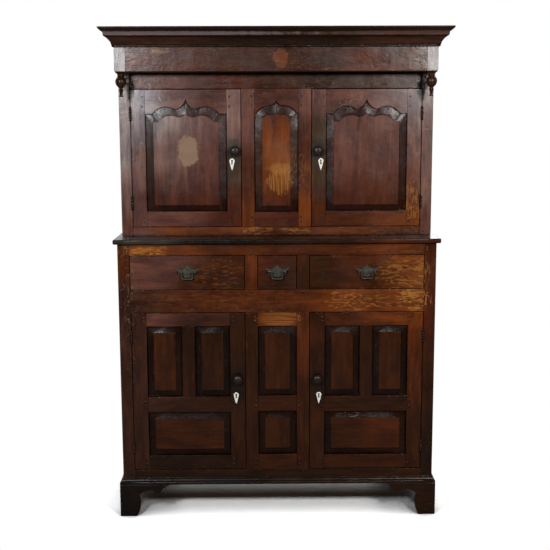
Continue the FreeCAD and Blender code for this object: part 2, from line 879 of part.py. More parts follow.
def upper_centre(parent):
    """The two muntins, the arched rail, the low rail and the panel between the upper doors."""
    frame = Frame("upper_centre", FRONT_UPPER, S.muntin_thickness, S.tenon_length)
    half = S.upper_centre_half_width
    edge = UPPER_MUNTIN_EDGE
    across = (-half, half)
    opening = (UPPER_FLOOR + S.upper_centre_bottom_rail_height,
               UPPER_DOOR_TOP - S.upper_centre_top_rail_height)
    arch = (S.centre_arch_height, S.centre_field_arch_height)
    frame.post("right_muntin", (half, edge), (UPPER_FLOOR, UPPER_DOOR_TOP))
    frame.post("left_muntin", (-edge, -half), (UPPER_FLOOR, UPPER_DOOR_TOP))
    rail_height = (opening[1], UPPER_DOOR_TOP)
    arched = arched_rail("upper_centre_arched_rail", FRONT_UPPER, across, rail_height, arch[0],
                         CENTRE_ARCH_SHARES, S.muntin_thickness)
    frame.rail("top_rail", across, rail_height, core=arched)
    frame.rail("bottom_rail", across, (UPPER_FLOOR, opening[0]))
    frame.groove("opening", across, opening)
    frame.hollows.append(arch_head("upper_centre_groove", FRONT_UPPER, across, opening[1], arch,
                                   frame.joint_depth(), ZERO))
    bevel = (S.centre_bevel, S.centre_low_bevel, S.centre_high_bevel)
    panel = raised_panel("upper_centre_panel", FRONT_UPPER, across, opening, bevel, arch,
                         CENTRE_ARCH_SHARES)
    parent.hollows += frame.muntin_tenons + frame.hollows
    return frame, [panel]


def side_frame(name, face, front, stile_depths, levels, heights):
    """One side of a stage: its rails and muntin between the corner stiles, and its panels."""
    frame = Frame(name, face, S.frame_thickness, S.tenon_length)
    along = (front + stile_depths[0], BACK - stile_depths[1])
    opening = (levels[0] + heights[0], levels[1] - heights[1])
    frame.rail("top_rail", along, (opening[1], levels[1]))
    frame.rail("bottom_rail", along, (levels[0], opening[0]), covered=True)
    middle = (along[0] + along[1]) / 2
    half = S.side_muntin_width / 2
    frame.muntin("muntin", (middle - half, middle + half), opening)
    bevel = (S.side_panel_bevel, S.side_panel_bevel, S.side_panel_bevel)
    panels = []
    for where, span in (("front", (along[0], middle - half)), ("back", (middle + half, along[1]))):
        frame.groove(where, span, opening)
        panels.append(raised_panel(f"{name}_{where}_panel", face, span, opening, bevel))
    return frame, panels


def back_frame(name, half, stile, levels, rails, side_tools):
    """Two corner stiles and the rails between them, in front of the back boards."""
    y = (BACK - stile[1], BACK)
    edge = half - stile[0]
    post = box(name + "_post", (edge, half), y, levels)
    rebate = box(name + "_rebate", (edge, edge + S.groove_depth), (BACK_BOARD_FRONT, BACK), levels)
    tenon_depth = (BACK_RAIL_FRONT + S.tongue_play, BACK_RAIL_FRONT + S.tongue_play + S.groove_width)
    tools = [rebate] + side_tools
    bars = []
    for index, rail in enumerate(rails):
        bar = box(f"{name}_rail_{index}", (-edge, edge), (BACK_RAIL_FRONT, BACK_BOARD_FRONT), rail)
        height = (rail[0] + S.tenon_shoulder, rail[1] - S.tenon_shoulder)
        reach = edge + S.tenon_length / 2
        tenon = box(f"{name}_tenon_{index}", (-reach, reach), tenon_depth, height)
        bars.append(join(f"{name}_tenoned_{index}", [bar, tenon]))
        tools.append(tenon)
    return [both(name + "_posts", cut(name + "_post_cut", post, tools))] + bars


def back_boards(name, half, levels):
    """Upright boards side by side across the back."""
    width = half * 2 / BACK_BOARD_COUNT
    boards = []
    for index in range(BACK_BOARD_COUNT):
        start = width * index - half
        x = (start + S.back_board_gap / 2, start + width - S.back_board_gap / 2)
        boards.append(box(f"{name}_{index}", x, (BACK_BOARD_FRONT, BACK), levels))
    return boards


def floor_boards(name, half, y, top, strips=(None, None)):
    """Boards that run from side to side, one behind the other, with strips between the stiles."""
    width = (y[1] - y[0]) / FLOOR_BOARD_COUNT
    z = (top - S.floor_thickness, top)
    boards = []
    for index in range(FLOOR_BOARD_COUNT):
        start = y[0] + width * index
        last = index == FLOOR_BOARD_COUNT - 1
        depth = (start, y[1] if last else start + width - S.floor_gap)
        boards.append(box(f"{name}_{index}", (-half, half), depth, z))
    for index, strip in zip((0, -1), strips):
        if strip is not None:
            edge = box(f"{name}_strip_{index}", strip[0], strip[1], z)
            boards[index] = join(f"{name}_notched_{index}", [boards[index], edge])
    return boards


def cleats(name, half, y, z):
    """A bearer on each side under the boards."""
    cleat = box(name, (half - S.cleat_width, half), y, z)
    return both(name + "_pair", cleat)


def inner_boards():
    """The floors of both stages and the lower shelf, with their bearers."""
    pieces = []
    stages = (
        ("lower_floor", LOWER_HALF, LOWER_STILE_EDGE, LOWER_FRONT, S.lower_stile_depth,
         (LOWER_BOTTOM, LOWER_FLOOR)),
        ("upper_floor", UPPER_HALF, UPPER_STILE_EDGE, UPPER_FRONT, S.upper_stile_depth,
         (UPPER_BOTTOM, UPPER_FLOOR)),
    )
    for name, half, edge, front, stile, (foot, level) in stages:
        inside = half - S.frame_thickness
        between = (front + stile, BACK - stile)
        strips = (((-edge, edge), (front + S.frame_thickness, between[0])),
                  ((-edge, edge), (between[1], BACK_RAIL_FRONT)))
        pieces.append(cleats(name + "_cleat", inside, between, (foot, level - S.floor_thickness)))
        pieces += floor_boards(name, inside, between, level, strips)
    inside = LOWER_HALF - S.frame_thickness
    stile = S.lower_stile_depth
    under_shelf = (S.shelf_height - S.cleat_height, S.shelf_height)
    pieces.append(cleats("shelf_cleat", inside, (LOWER_FRONT + stile, BACK - stile), under_shelf))
    shelf = (LOWER_FRONT + S.shelf_setback, BACK - stile)
    pieces += floor_boards("shelf", inside, shelf, S.shelf_height + S.floor_thickness)
    return pieces


def drawer_runners():
    """Runners under the drawers with guides beside them."""
    y = (LOWER_FRONT + S.frame_thickness, BACK_RAIL_FRONT)
    z = (DRAWER_FLOOR - S.runner_height, DRAWER_FLOOR)
    inside = LOWER_HALF - S.frame_thickness
    guide_z = (DRAWER_FLOOR, DRAWER_FLOOR + S.guide_height)
    behind_stile = (LOWER_FRONT + S.lower_stile_depth, BACK - S.lower_stile_depth)
    outer = join("outer_runner", [
        box("outer_runner_bar", (LOWER_STILE_EDGE - S.runner_overlap, LOWER_STILE_EDGE), y, z),
        box("outer_runner_side", (LOWER_STILE_EDGE, inside), behind_stile, z),
    ])
    outer_guide = box("outer_guide", (LOWER_STILE_EDGE, inside), behind_stile, guide_z)
    inner_x = (DIVIDER_EDGE - S.runner_overlap, LOWER_MUNTIN_EDGE + S.runner_overlap)
    inner = box("inner_runner", inner_x, y, z)
    inner_guide = box("inner_guide", (DIVIDER_EDGE, LOWER_MUNTIN_EDGE), y, guide_z)
    return [both(piece.Name + "_pair", piece) for piece in (outer, outer_guide, inner, inner_guide)]


# Shares of the nosing's overhang and of the board's thickness, from its foot to its top
NOSING_SHARES = (
    (0.75, 0.0, -0.3),
    (1.0, 0.4),
    (1.0, 0.66, -0.3),
    (0.8, 1.0),
)


def waist_board():
    """The board between the stages, with a nosing on its front and sides."""
    out = S.waist_board_overhang
    top = S.waist_board_height
    nose = scaled(NOSING_SHARES, out, top)
    outline = flipped(nose) + [(S.lower_depth, top), (S.lower_depth, ZERO)]
    reach = LOWER_HALF + out
    along_x = pad("waist_front_nosing", "YZ_Plane", outline, reach * 2)
    place(along_x, -reach, LOWER_FRONT, LOWER_TOP)
    right = [(LOWER_HALF + point[0],) + tuple(point[1:]) for point in nose]
    along_y = pad("waist_side_nosing", "XZ_Plane", right + backwards(flipped(right)), S.lower_depth + out)
    place(along_y, ZERO, LOWER_FRONT - out, LOWER_TOP)
    return overlap("waist", along_x, along_y)


# Shares of the bracket's length and height along its inner edge, from the floor up
BRACKET_SHARES = (
    (0.33, 0.0, 0.25),
    (0.37, 0.63, -0.28),
    (0.65, 0.82),
    (0.71, 0.72),
    (0.79, 0.72, -0.2),
    (1.0, 1.0),
)


def bracket(name, length, outer, inner_sign):
    """One shaped board of a bracket foot, flat against the XZ plane."""
    outline = [(outer, ZERO)]
    for share in BRACKET_SHARES:
        point = (outer + length * share[0] * inner_sign, S.foot_height * share[1])
        outline.append(point + tuple(-bulge * inner_sign for bulge in share[2:]))
    outline.append((outer, S.foot_height))
    return pad(name, "XZ_Plane", outline, S.foot_thickness)


def bracket_feet():
    """Bracket feet: a mitred pair at each front corner and a plain pair at each back one."""
    outer = LOWER_HALF + S.base_projection
    front = LOWER_FRONT - S.base_projection
    board = S.foot_thickness
    z = (ZERO, S.foot_height)
    front_board = place(bracket("front_bracket", S.foot_length, outer, -1), ZERO, front, ZERO)
    near = ((outer - S.foot_length, outer), z)
    far = ((outer - S.foot_length, outer - board), z)
    front_plan = place(taper("front_bracket_plan", near, far, (ZERO, board)), ZERO, front, ZERO)
    front_mitred = overlap("front_bracket_mitred", front_board, front_plan)
    side_board = bracket("side_bracket", S.foot_length, front, 1)
    near = ((front, front + S.foot_length), z)
    far = ((front + board, front + S.foot_length), z)
    side_plan = taper("side_bracket_plan", near, far, (ZERO, board))
    side_mitred = overlap("side_bracket_mitred", side_board, side_plan)
    side_turned = place(group("side_bracket_turned", [side_mitred]), outer, ZERO, ZERO, Z_AXIS, QUARTER)
    back_side = bracket("back_side_bracket", S.foot_length, BACK, -1)
    back_turned = place(group("back_bracket_turned", [back_side]), outer, ZERO, ZERO, Z_AXIS, QUARTER)
    inside = outer - board
    back_board = box("back_foot_board", (inside - S.back_foot_length, inside), (BACK - board, BACK), z)
    block = S.foot_block_width
    blocks = [
        box("front_foot_block", (inside - block, inside), (front + board, front + board + block), z),
        box("back_foot_block", (inside - block, inside), (BACK - board - block, BACK - board), z),
    ]
    pieces = [front_mitred, side_turned, back_turned, back_board] + blocks
    return [both(piece.Name + "_feet", piece) for piece in pieces]


def frieze():
    """The frieze: front board, side boards and the corner blocks that hold the pendants."""
    z = (UPPER_TOP, FRIEZE_TOP)
    edge = UPPER_HALF - S.corner_block_width
    block_back = FRIEZE_FRONT + S.corner_block_width
    inside = UPPER_HALF - S.frieze_thickness
    front = box("frieze_front", (-edge, edge), (FRIEZE_FRONT, FRIEZE_FRONT + S.frieze_thickness), z)
    tenon_y = (FRIEZE_FRONT + S.groove_front, FRIEZE_FRONT + S.groove_front + S.groove_width)
    tenon_z = (z[0] + S.tenon_shoulder, z[1] - S.tenon_shoulder)
    reach = edge + S.tenon_length / 2
    tenon = box("frieze_tenon", (-reach, reach), tenon_y, tenon_z)
    block = box("corner_block", (edge, UPPER_HALF), (FRIEZE_FRONT, block_back), z)
    middle = S.corner_block_width / 2
    socket = rod("pendant_socket", S.pendant_peg_radius + S.peg_play, S.pendant_peg_length,
                 UPPER_HALF - middle, FRIEZE_FRONT + middle, UPPER_TOP)
    side = box("frieze_side", (inside, UPPER_HALF), (block_back, BACK - S.upper_stile_depth), z)
    bored = cut("corner_block_cut", block, [tenon, socket])
    return [join("frieze_front_board", [front, tenon]), both("corner_blocks", bored),
            both("frieze_sides", side)]


def pendants():
    """A turned pendant under each corner block, with its round tenon."""
    middle = S.corner_block_width / 2
    turned = turning("pendant_turned", scaled(PENDANT_SHARES, S.pendant_radius, S.pendant_drop))
    stem = rod("pendant_stem", S.pendant_peg_radius, S.pendant_peg_length, ZERO, ZERO, ZERO)
    pendant = group("pendant_placed", [join("pendant", [turned, stem])])
    place(pendant, UPPER_HALF - middle, FRIEZE_FRONT + middle, UPPER_TOP)
    return [both("pendants_pair", pendant)]


def roof_boards():
    """The soffit behind the frieze and the boards inside the cornice."""
    inside = UPPER_HALF - S.frieze_thickness
    soffit_y = (FRIEZE_FRONT + S.frieze_thickness, UPPER_FRONT + S.upper_stile_depth)
    edge = UPPER_HALF - S.corner_block_width
    block_back = FRIEZE_FRONT + S.corner_block_width
    soffit_z = (UPPER_TOP, UPPER_TOP + S.roof_thickness)
    soffit = join("soffit", [
        box("soffit_front", (-edge, edge), (soffit_y[0], block_back), soffit_z),
        box("soffit_back", (-inside, inside), (block_back, soffit_y[1]), soffit_z),
    ])
    half = UPPER_HALF - S.cornice_seat
    start = FRIEZE_FRONT + S.cornice_seat
    width = (BACK - start) / FLOOR_BOARD_COUNT
    boards = []
    for index in range(FLOOR_BOARD_COUNT):
        y = (start + width * index, start + width * (index + 1) - S.floor_gap)
        boards.append(box(f"roof_{index}", (-half, half), y, (FRIEZE_TOP, FRIEZE_TOP + S.roof_thickness)))
    return [soffit] + boards


# Shares of the escutcheon's half width and of its rise or fall, from its point round to the left
ESCUTCHEON_SHARES = (
    (0.0, -1.0, -0.04),
    (1.0, 0.0, -0.5),
    (0.42, 0.78, -0.6),
    (-0.42, 0.78, -0.5),
    (-1.0, 0.0, -0.04),
)


def rise_and_fall(shares, half, rise, fall):
    """An outline whose heights are shares of its rise above the middle or of its fall below it."""
    return [(half * share[0], (rise if share[1] > 0 else fall) * share[1]) + tuple(share[2:])
            for share in shares]


class Door:
    """A right-hand door: its edges, its hinge line and the levels of its fittings."""

    def __init__(self, name, face, muntin_edge, stile_edge, levels):
        self.name = name
        self.face = face
        self.inner = muntin_edge + S.door_gap
        self.outer = stile_edge - S.door_gap
        self.stile_edge = stile_edge
        self.z = (levels[0] + S.door_gap, levels[1] - S.door_gap)
        self.levels = levels
        self.axis_x = stile_edge - S.door_gap / 2
        self.axis_y = face.plane - S.hinge_axis_proud

    def hinge_feet(self):
        """The lower ends of the two hinges."""
        low = self.levels[0] + S.hinge_end_distance
        high = self.levels[1] - S.hinge_end_distance - S.hinge_height
        return (low, high)

    def hinge_cuts(self, name, on_door):
        """What the hinges take out of the door's edge or of the case's stile."""
        tools = []
        reach = S.knuckle_radius + S.knuckle_play
        leaf_y = (self.face.plane, self.face.plane + S.hinge_leaf_depth)
        if on_door:
            leaf_x = (self.outer - S.hinge_leaf_thickness, self.outer)
        else:
            leaf_x = (self.stile_edge, self.stile_edge + S.hinge_leaf_thickness)
        for index, foot in enumerate(self.hinge_feet()):
            z = (foot, foot + S.hinge_height)
            tools.append(box(f"{name}_leaf_seat_{index}", leaf_x, leaf_y, z))
            tools.append(rod(f"{name}_knuckle_seat_{index}", reach, S.hinge_height,
                             self.axis_x, self.axis_y, foot))
        return tools

    def hinge_leaf(self, name, foot, on_door):
        """One leaf with its knuckles; the case's leaf holds the pin."""
        clear = S.knuckle_radius + S.knuckle_play
        if on_door:
            x = (self.outer - S.hinge_leaf_thickness, self.outer)
        else:
            x = (self.stile_edge, self.stile_edge + S.hinge_leaf_thickness)
        back = self.face.plane + S.hinge_leaf_depth
        pieces = [box(name + "_plate", x, (self.axis_y + clear, back), (foot, foot + S.hinge_height))]
        pitch = S.hinge_height / KNUCKLE_COUNT
        for index in range(KNUCKLE_COUNT):
            if (index % 2 == 1) != on_door:
                continue
            low = foot + pitch * index
            length = pitch - S.knuckle_play
            pieces.append(box(f"{name}_tab_{index}", x, (self.axis_y, self.axis_y + clear),
                              (low, low + length)))
            pieces.append(rod(f"{name}_knuckle_{index}", S.knuckle_radius, length,
                              self.axis_x, self.axis_y, low))
        if not on_door:
            pieces.append(rod(name + "_pin", S.hinge_pin_radius, S.hinge_height - S.knuckle_play,
                              self.axis_x, self.axis_y, foot))
            return join(name, pieces)
        bore = rod(name + "_bore", S.hinge_pin_radius + S.hinge_pin_play, S.hinge_height,
                   self.axis_x, self.axis_y, foot)
        return cut(name + "_bored", join(name, pieces), [bore])

    def hinge_leaves(self, on_door):
        """Both hinges' leaves on the door or on the case."""
        side = "door_leaf" if on_door else "case_leaf"
        return [self.hinge_leaf(f"{self.name}_{side}_{index}", foot, on_door)
                for index, foot in enumerate(self.hinge_feet())]

    def keyhole(self, name, inset, level, depth):
        """The keyhole as a cutting tool: a round top, a slot and a round foot."""
        x = self.inner + inset
        half = S.keyhole_slot_width / 2
        y = (self.face.plane + depth[0], self.face.plane + depth[1])
        return join(name, [
            self.face.rod(name + "_top", S.keyhole_radius, x, depth, level),
            box(name + "_slot", (x - half, x + half), y, (level - S.keyhole_drop, level)),
            self.face.rod(name + "_foot", S.keyhole_foot_radius, x, depth, level - S.keyhole_drop),
        ])

    def spindle_hole(self, inset, level):
        """The hole through the door for the knob's spindle."""
        radius = S.knob_spindle_radius + S.knob_spindle_play
        return self.face.rod(self.name + "_spindle_hole", radius, self.inner + inset,
                             (ZERO, S.door_thickness), level)

    def escutcheon(self, inset, level):
        """A bone plate round the keyhole, pointed at its foot."""
        outline = rise_and_fall(ESCUTCHEON_SHARES, S.escutcheon_half_width, S.escutcheon_rise,
                                S.escutcheon_fall)
        plate = pad(self.name + "_escutcheon_plate", "XZ_Plane", outline, S.escutcheon_thickness)
        middle = level - S.keyhole_drop / 2
        place(plate, self.inner + inset, self.face.plane - S.escutcheon_thickness, middle)
        hole = self.keyhole(self.name + "_escutcheon_hole", inset, level, (-S.escutcheon_thickness, ZERO))
        return cut(self.name + "_escutcheon_cut", plate, [hole])

    def lock_box(self, level):
        """The edges of the lock's case on the back of the door's stile."""
        foot = level - S.keyhole_above_lock_foot
        x = (self.inner + S.bolt_inset, self.inner + S.bolt_inset + S.lock_width)
        y = (self.face.plane + S.door_thickness, self.face.plane + S.door_thickness + S.lock_thickness)
        return x, y, (foot, foot + S.lock_height)

    def bolt_box(self, level, play):
        """The space of the drawn bolt, widened by the play."""
        x, y, z = self.lock_box(level)
        middle_y = (y[0] + y[1]) / 2
        middle_z = (z[0] + z[1]) / 2
        half_y = S.bolt_thickness / 2 + play
        half_z = S.bolt_height / 2 + play
        return ((x[0], x[0] + S.bolt_length), (middle_y - half_y, middle_y + half_y),
                (middle_z - half_z, middle_z + half_z))

    def lock_case(self, level):
        """The iron case of the lock, open towards the wood, with a slot for its bolt."""
        x, y, z = self.lock_box(level)
        wall = S.lock_wall
        shell = box(self.name + "_lock_shell", x, y, z)
        hollow = box(self.name + "_lock_hollow", (x[0] + wall, x[1] - wall), (y[0], y[1] - wall),
                     (z[0] + wall, z[1] - wall))
        slot = box(self.name + "_lock_slot", *self.bolt_box(level, S.bolt_play))
        return cut(self.name + "_lock_case", shell, [hollow, slot])

    def bolt(self, level):
        """The lock's bolt, drawn back."""
        return box(self.name + "_bolt", *self.bolt_box(level, ZERO))

    def knob(self, inset, level):
        """The turned knob on its spindle, with the wooden button behind the door."""
        x = self.inner + inset
        head = turning(self.name + "_knob_head", knob_profile())
        place(head, x, self.face.plane - S.knob_stand_off, level, X_AXIS, QUARTER)
        back = S.door_thickness + S.button_gap + S.button_thickness
        spindle = self.face.rod(self.name + "_spindle", S.knob_spindle_radius, x,
                                (-S.knob_stand_off, back), level)
        half = S.button_width / 2
        depth = (S.door_thickness + S.button_gap, back)
        blade = self.face.box(self.name + "_button_blade", (x - half, x + half), depth,
                              (level, level + S.button_length))
        heel = self.face.rod(self.name + "_button_heel", half, x, depth, level)
        eye = self.face.rod(self.name + "_button_eye", S.knob_spindle_radius + S.peg_play, x, depth, level)
        button = cut(self.name + "_button_bored", join(self.name + "_button", [blade, heel]), [eye])
        return [join(self.name + "_knob_turned", [head, spindle]), button]


def upper_door_frame(door):
    """Stiles, a plain bottom rail and an arched top rail, with the panel."""
    frame = Frame(door.name, door.face, S.door_thickness, S.door_tenon_length)
    across = (door.inner + S.upper_door_stile_width, door.outer - S.upper_door_stile_width)
    opening = (door.z[0] + S.upper_door_bottom_rail_height, door.z[1] - S.upper_door_top_rail_height)
    arch = (S.arch_height, S.upper_field_arch_height)
    frame.stile("inner_stile", (door.inner, across[0]), door.z)
    frame.stile("outer_stile", (across[1], door.outer), door.z)
    rail_height = (opening[1], door.z[1])
    arched = arched_rail(door.name + "_arched_rail", door.face, across, rail_height, arch[0],
                         DOOR_ARCH_SHARES, S.door_thickness)
    frame.rail("top_rail", across, rail_height, core=arched)
    frame.rail("bottom_rail", across, (door.z[0], opening[0]))
    frame.groove("opening", across, opening)
    frame.hollows.append(arch_head(door.name + "_groove", door.face, across, opening[1], arch,
                                   frame.joint_depth(), ZERO))
    bevel = (S.upper_side_bevel, S.upper_low_bevel, S.upper_high_bevel)
    panel = raised_panel(door.name + "_panel", door.face, across, opening, bevel, arch,
                         DOOR_ARCH_SHARES)
    return frame, [panel]


def lower_door_frame(door):
    """Stiles, three rails and a muntin, with two panels over one."""
    frame = Frame(door.name, door.face, S.door_thickness, S.door_tenon_length)
    across = (door.inner + S.lower_door_stile_width, door.outer - S.lower_door_stile_width)
    low = (door.z[0] + S.lower_door_bottom_rail_height,
           door.z[0] + S.lower_door_bottom_rail_height + S.lower_door_low_panel_height)
    high = (low[1] + S.lower_door_middle_rail_height, door.z[1] - S.lower_door_top_rail_height)
    middle = (across[0] + across[1]) / 2
    half = S.lower_door_muntin_width / 2
    frame.stile("inner_stile", (door.inner, across[0]), door.z)
    frame.stile("outer_stile", (across[1], door.outer), door.z)
    frame.rail("top_rail", across, (high[1], door.z[1]))
    frame.rail("middle_rail", across, (low[1], high[0]))
    frame.rail("bottom_rail", across, (door.z[0], low[0]))
    frame.muntin("muntin", (middle - half, middle + half), high)
    openings = {
        "low": (across, low),
        "inner": ((across[0], middle - half), high),
        "outer": ((middle + half, across[1]), high),
    }
    bevel = (S.lower_panel_bevel, S.lower_panel_bevel, S.lower_panel_bevel)
    panels = []
    for where, (along, z) in openings.items():
        frame.groove(where, along, z)
        panels.append(raised_panel(f"{door.name}_{where}_panel", door.face, along, z, bevel))
    return frame, panels


def door_nodes(door, make_frame, keyhole_inset, keyhole_level, knob_inset, knob_level):
    """All sub-parts of a right-hand door and, mirrored, of its left-hand twin."""
    frame, panels = make_frame(door)
    through = (ZERO, S.door_thickness)
    tools = door.hinge_cuts(door.name + "_edge", on_door=True)
    tools.append(door.keyhole(door.name + "_door_hole", keyhole_inset, keyhole_level, through))
    tools.append(door.spindle_hole(knob_inset, knob_level))
    parts = {
        "door_frame": frame.finished_uprights(tools) + frame.finished_rails(tools) + frame.pegs,
        "door_panel": panels,
        "door_escutcheon": [door.escutcheon(keyhole_inset, keyhole_level)],
        "door_ironwork": door.hinge_leaves(on_door=True) + [door.lock_case(keyhole_level)],
        "door_knob": door.knob(knob_inset, knob_level),
        "lock_bolt": [door.bolt(keyhole_level)],
    }
    stage = door.name.split("_")[0]
    for name, pieces in parts.items():
        right = node(f"{stage}_right_{name}", pieces)
        node(f"{stage}_left_{name}", [mirror(f"{stage}_left_{name}_twin", right)])


def tails(name, edge, y, z):
    """The dovetails at the front end of a drawer's side."""
    wanted = []
    middle = (z[0] + z[1]) / 2
    quarter = (z[1] - z[0]) / 4
    for index, level in enumerate((middle - quarter, middle + quarter)):
        wide = S.tail_height / 2
        neck = S.tail_neck_height / 2
        wanted.append(taper(f"{name}_tail_{index}", (edge, (level - wide, level + wide)),
                            (edge, (level - neck, level + neck)), y))
    return wanted


def drawer(name, x):
    """A drawer between two places across the front: its front board and its box."""
    front_y = (LOWER_FRONT, LOWER_FRONT + S.drawer_front_thickness)
    across = (x[0] + S.drawer_gap, x[1] - S.drawer_gap)
    foot = DRAWER_FLOOR + S.runner_play
    front = box(name + "_front_board", across, front_y,
                (DRAWER_FLOOR + S.drawer_low_gap, DRAWER_TOP - S.drawer_gap))
    side_z = (foot, foot + S.drawer_side_height)
    side_y = (front_y[1], front_y[1] + S.drawer_length)
    wall = S.drawer_side_thickness
    tail_y = (front_y[1] - S.tail_length, front_y[1])
    bottom_z = (foot + S.drawer_bottom_rise, foot + S.drawer_bottom_rise + S.drawer_bottom_thickness)
    bottom_x = (across[0] + wall - S.drawer_bottom_groove, across[1] - wall + S.drawer_bottom_groove)
    back_y = (side_y[1] - S.drawer_back_thickness, side_y[1])
    bottom = box(name + "_bottom", bottom_x, side_y, bottom_z)
    sides = []
    front_tools = []
    for index, edge in enumerate(((across[0], across[0] + wall), (across[1] - wall, across[1]))):
        joints = tails(f"{name}_side_{index}", edge, tail_y, side_z)
        front_tools += joints
        board = box(f"{name}_side_{index}", edge, side_y, side_z)
        side = join(f"{name}_side_{index}_tailed", [board] + joints)
        sides.append(cut(f"{name}_side_{index}_grooved", side, [bottom]))
    back_x = (across[0] + wall, across[1] - wall)
    back = box(name + "_back", back_x, back_y, (bottom_z[1], bottom_z[1] + S.drawer_back_height))
    node(name + "_drawer_front", [cut(name + "_front_cut", front, front_tools)])
    node(name + "_drawer_box", sides + [bottom, back])


# Shares of the handle plate's half width and of its rise or fall, from its head round to its foot
PLATE_SHARES = (
    (0.0, 1.0, -0.25),
    (0.3, 0.52, -0.3),
    (0.46, 0.34, -0.2),
    (0.97, 0.5, 0.4),
    (0.9, 0.14, -0.3),
    (0.76, 0.03, 0.35),
    (0.7, -0.52, 0.3),
    (0.5, -0.6, -0.3),
    (0.42, -0.86, 0.12),
    (0.0, -1.0),
)

# The handles' place on every drawer, and the bails' axis
HANDLE_LEVEL = DRAWER_FLOOR + S.handle_height
PLATE_FRONT = LOWER_FRONT - S.handle_plate_thickness
BAIL_Y = PLATE_FRONT - S.post_length


def handle_plate(name, x):
    """A bat-wing plate with the two posts that carry the bail."""
    right = rise_and_fall(PLATE_SHARES, S.handle_half_width, S.handle_rise, S.handle_fall)
    left = backwards(flipped(right))
    plate = pad(name + "_plate", "XZ_Plane", right[:-1] + left[:-1], S.handle_plate_thickness)
    axis_y = -S.post_length
    stem = rod(name + "_post_stem", S.post_radius, S.post_length, S.post_spacing, axis_y, ZERO,
               X_AXIS, -QUARTER)
    head = ball(name + "_post_head", S.post_head_radius, S.post_spacing, axis_y, ZERO)
    bore = rod(name + "_post_bore", S.bail_pin_radius + S.bail_pin_play, S.post_head_radius,
               S.post_spacing - S.post_head_radius, axis_y, ZERO, Y_AXIS, QUARTER)
    post = cut(name + "_post", join(name + "_post_whole", [stem, head]), [bore])
    whole = join(name + "_plate_and_posts", [plate, post, mirror(name + "_post_twin", post)])
    placed = place(group(name + "_plate_placed", [whole]), x, PLATE_FRONT, HANDLE_LEVEL)
    node(name + "_handle_plate", [placed])


def bail(name, x):
    """The drop handle: pins in the posts, two arms and a level grip with round corners."""
    corner = S.bail_corner_radius
    arm_x = S.bail_half_width
    foot = -S.bail_drop
    pin_length = S.post_spacing - arm_x - S.bail_pin_play
    bend = doc.addObject("Part::Torus", name + "_corner")
    bind(bend, "Radius1", corner)
    bind(bend, "Radius2", S.bail_radius)
    bend.Angle3 = QUARTER
    half = join(name + "_half_bail", [
        rod(name + "_pin", S.bail_pin_radius, pin_length, arm_x, ZERO, ZERO, Y_AXIS, QUARTER),
        ball(name + "_elbow", S.bail_radius, arm_x, ZERO, ZERO),
        rod(name + "_arm", S.bail_radius, S.bail_drop - corner, arm_x, ZERO, foot + corner),
        place(bend, arm_x - corner, ZERO, foot + corner, X_AXIS, -QUARTER),
        rod(name + "_grip", S.bail_radius, arm_x - corner, ZERO, ZERO, foot, Y_AXIS, QUARTER),
    ])
    whole = join(name + "_bail_bar", [half, mirror(name + "_half_twin", half)])
    node(name + "_bail", [place(group(name + "_bail_placed", [whole]), x, BAIL_Y, HANDLE_LEVEL)])


def check_document():
    """Stops if any object of the document failed."""
    for thing in doc.Objects:
        if "Invalid" in thing.State or "Error" in thing.State:
            raise RuntimeError(f"{thing.Name} failed: {thing.State}")
    for part in nodes:
        if part.Shape.isNull() or not part.Shape.isValid() or not part.Shape.Solids:
            raise RuntimeError(f"{part.Label} has no valid solid")


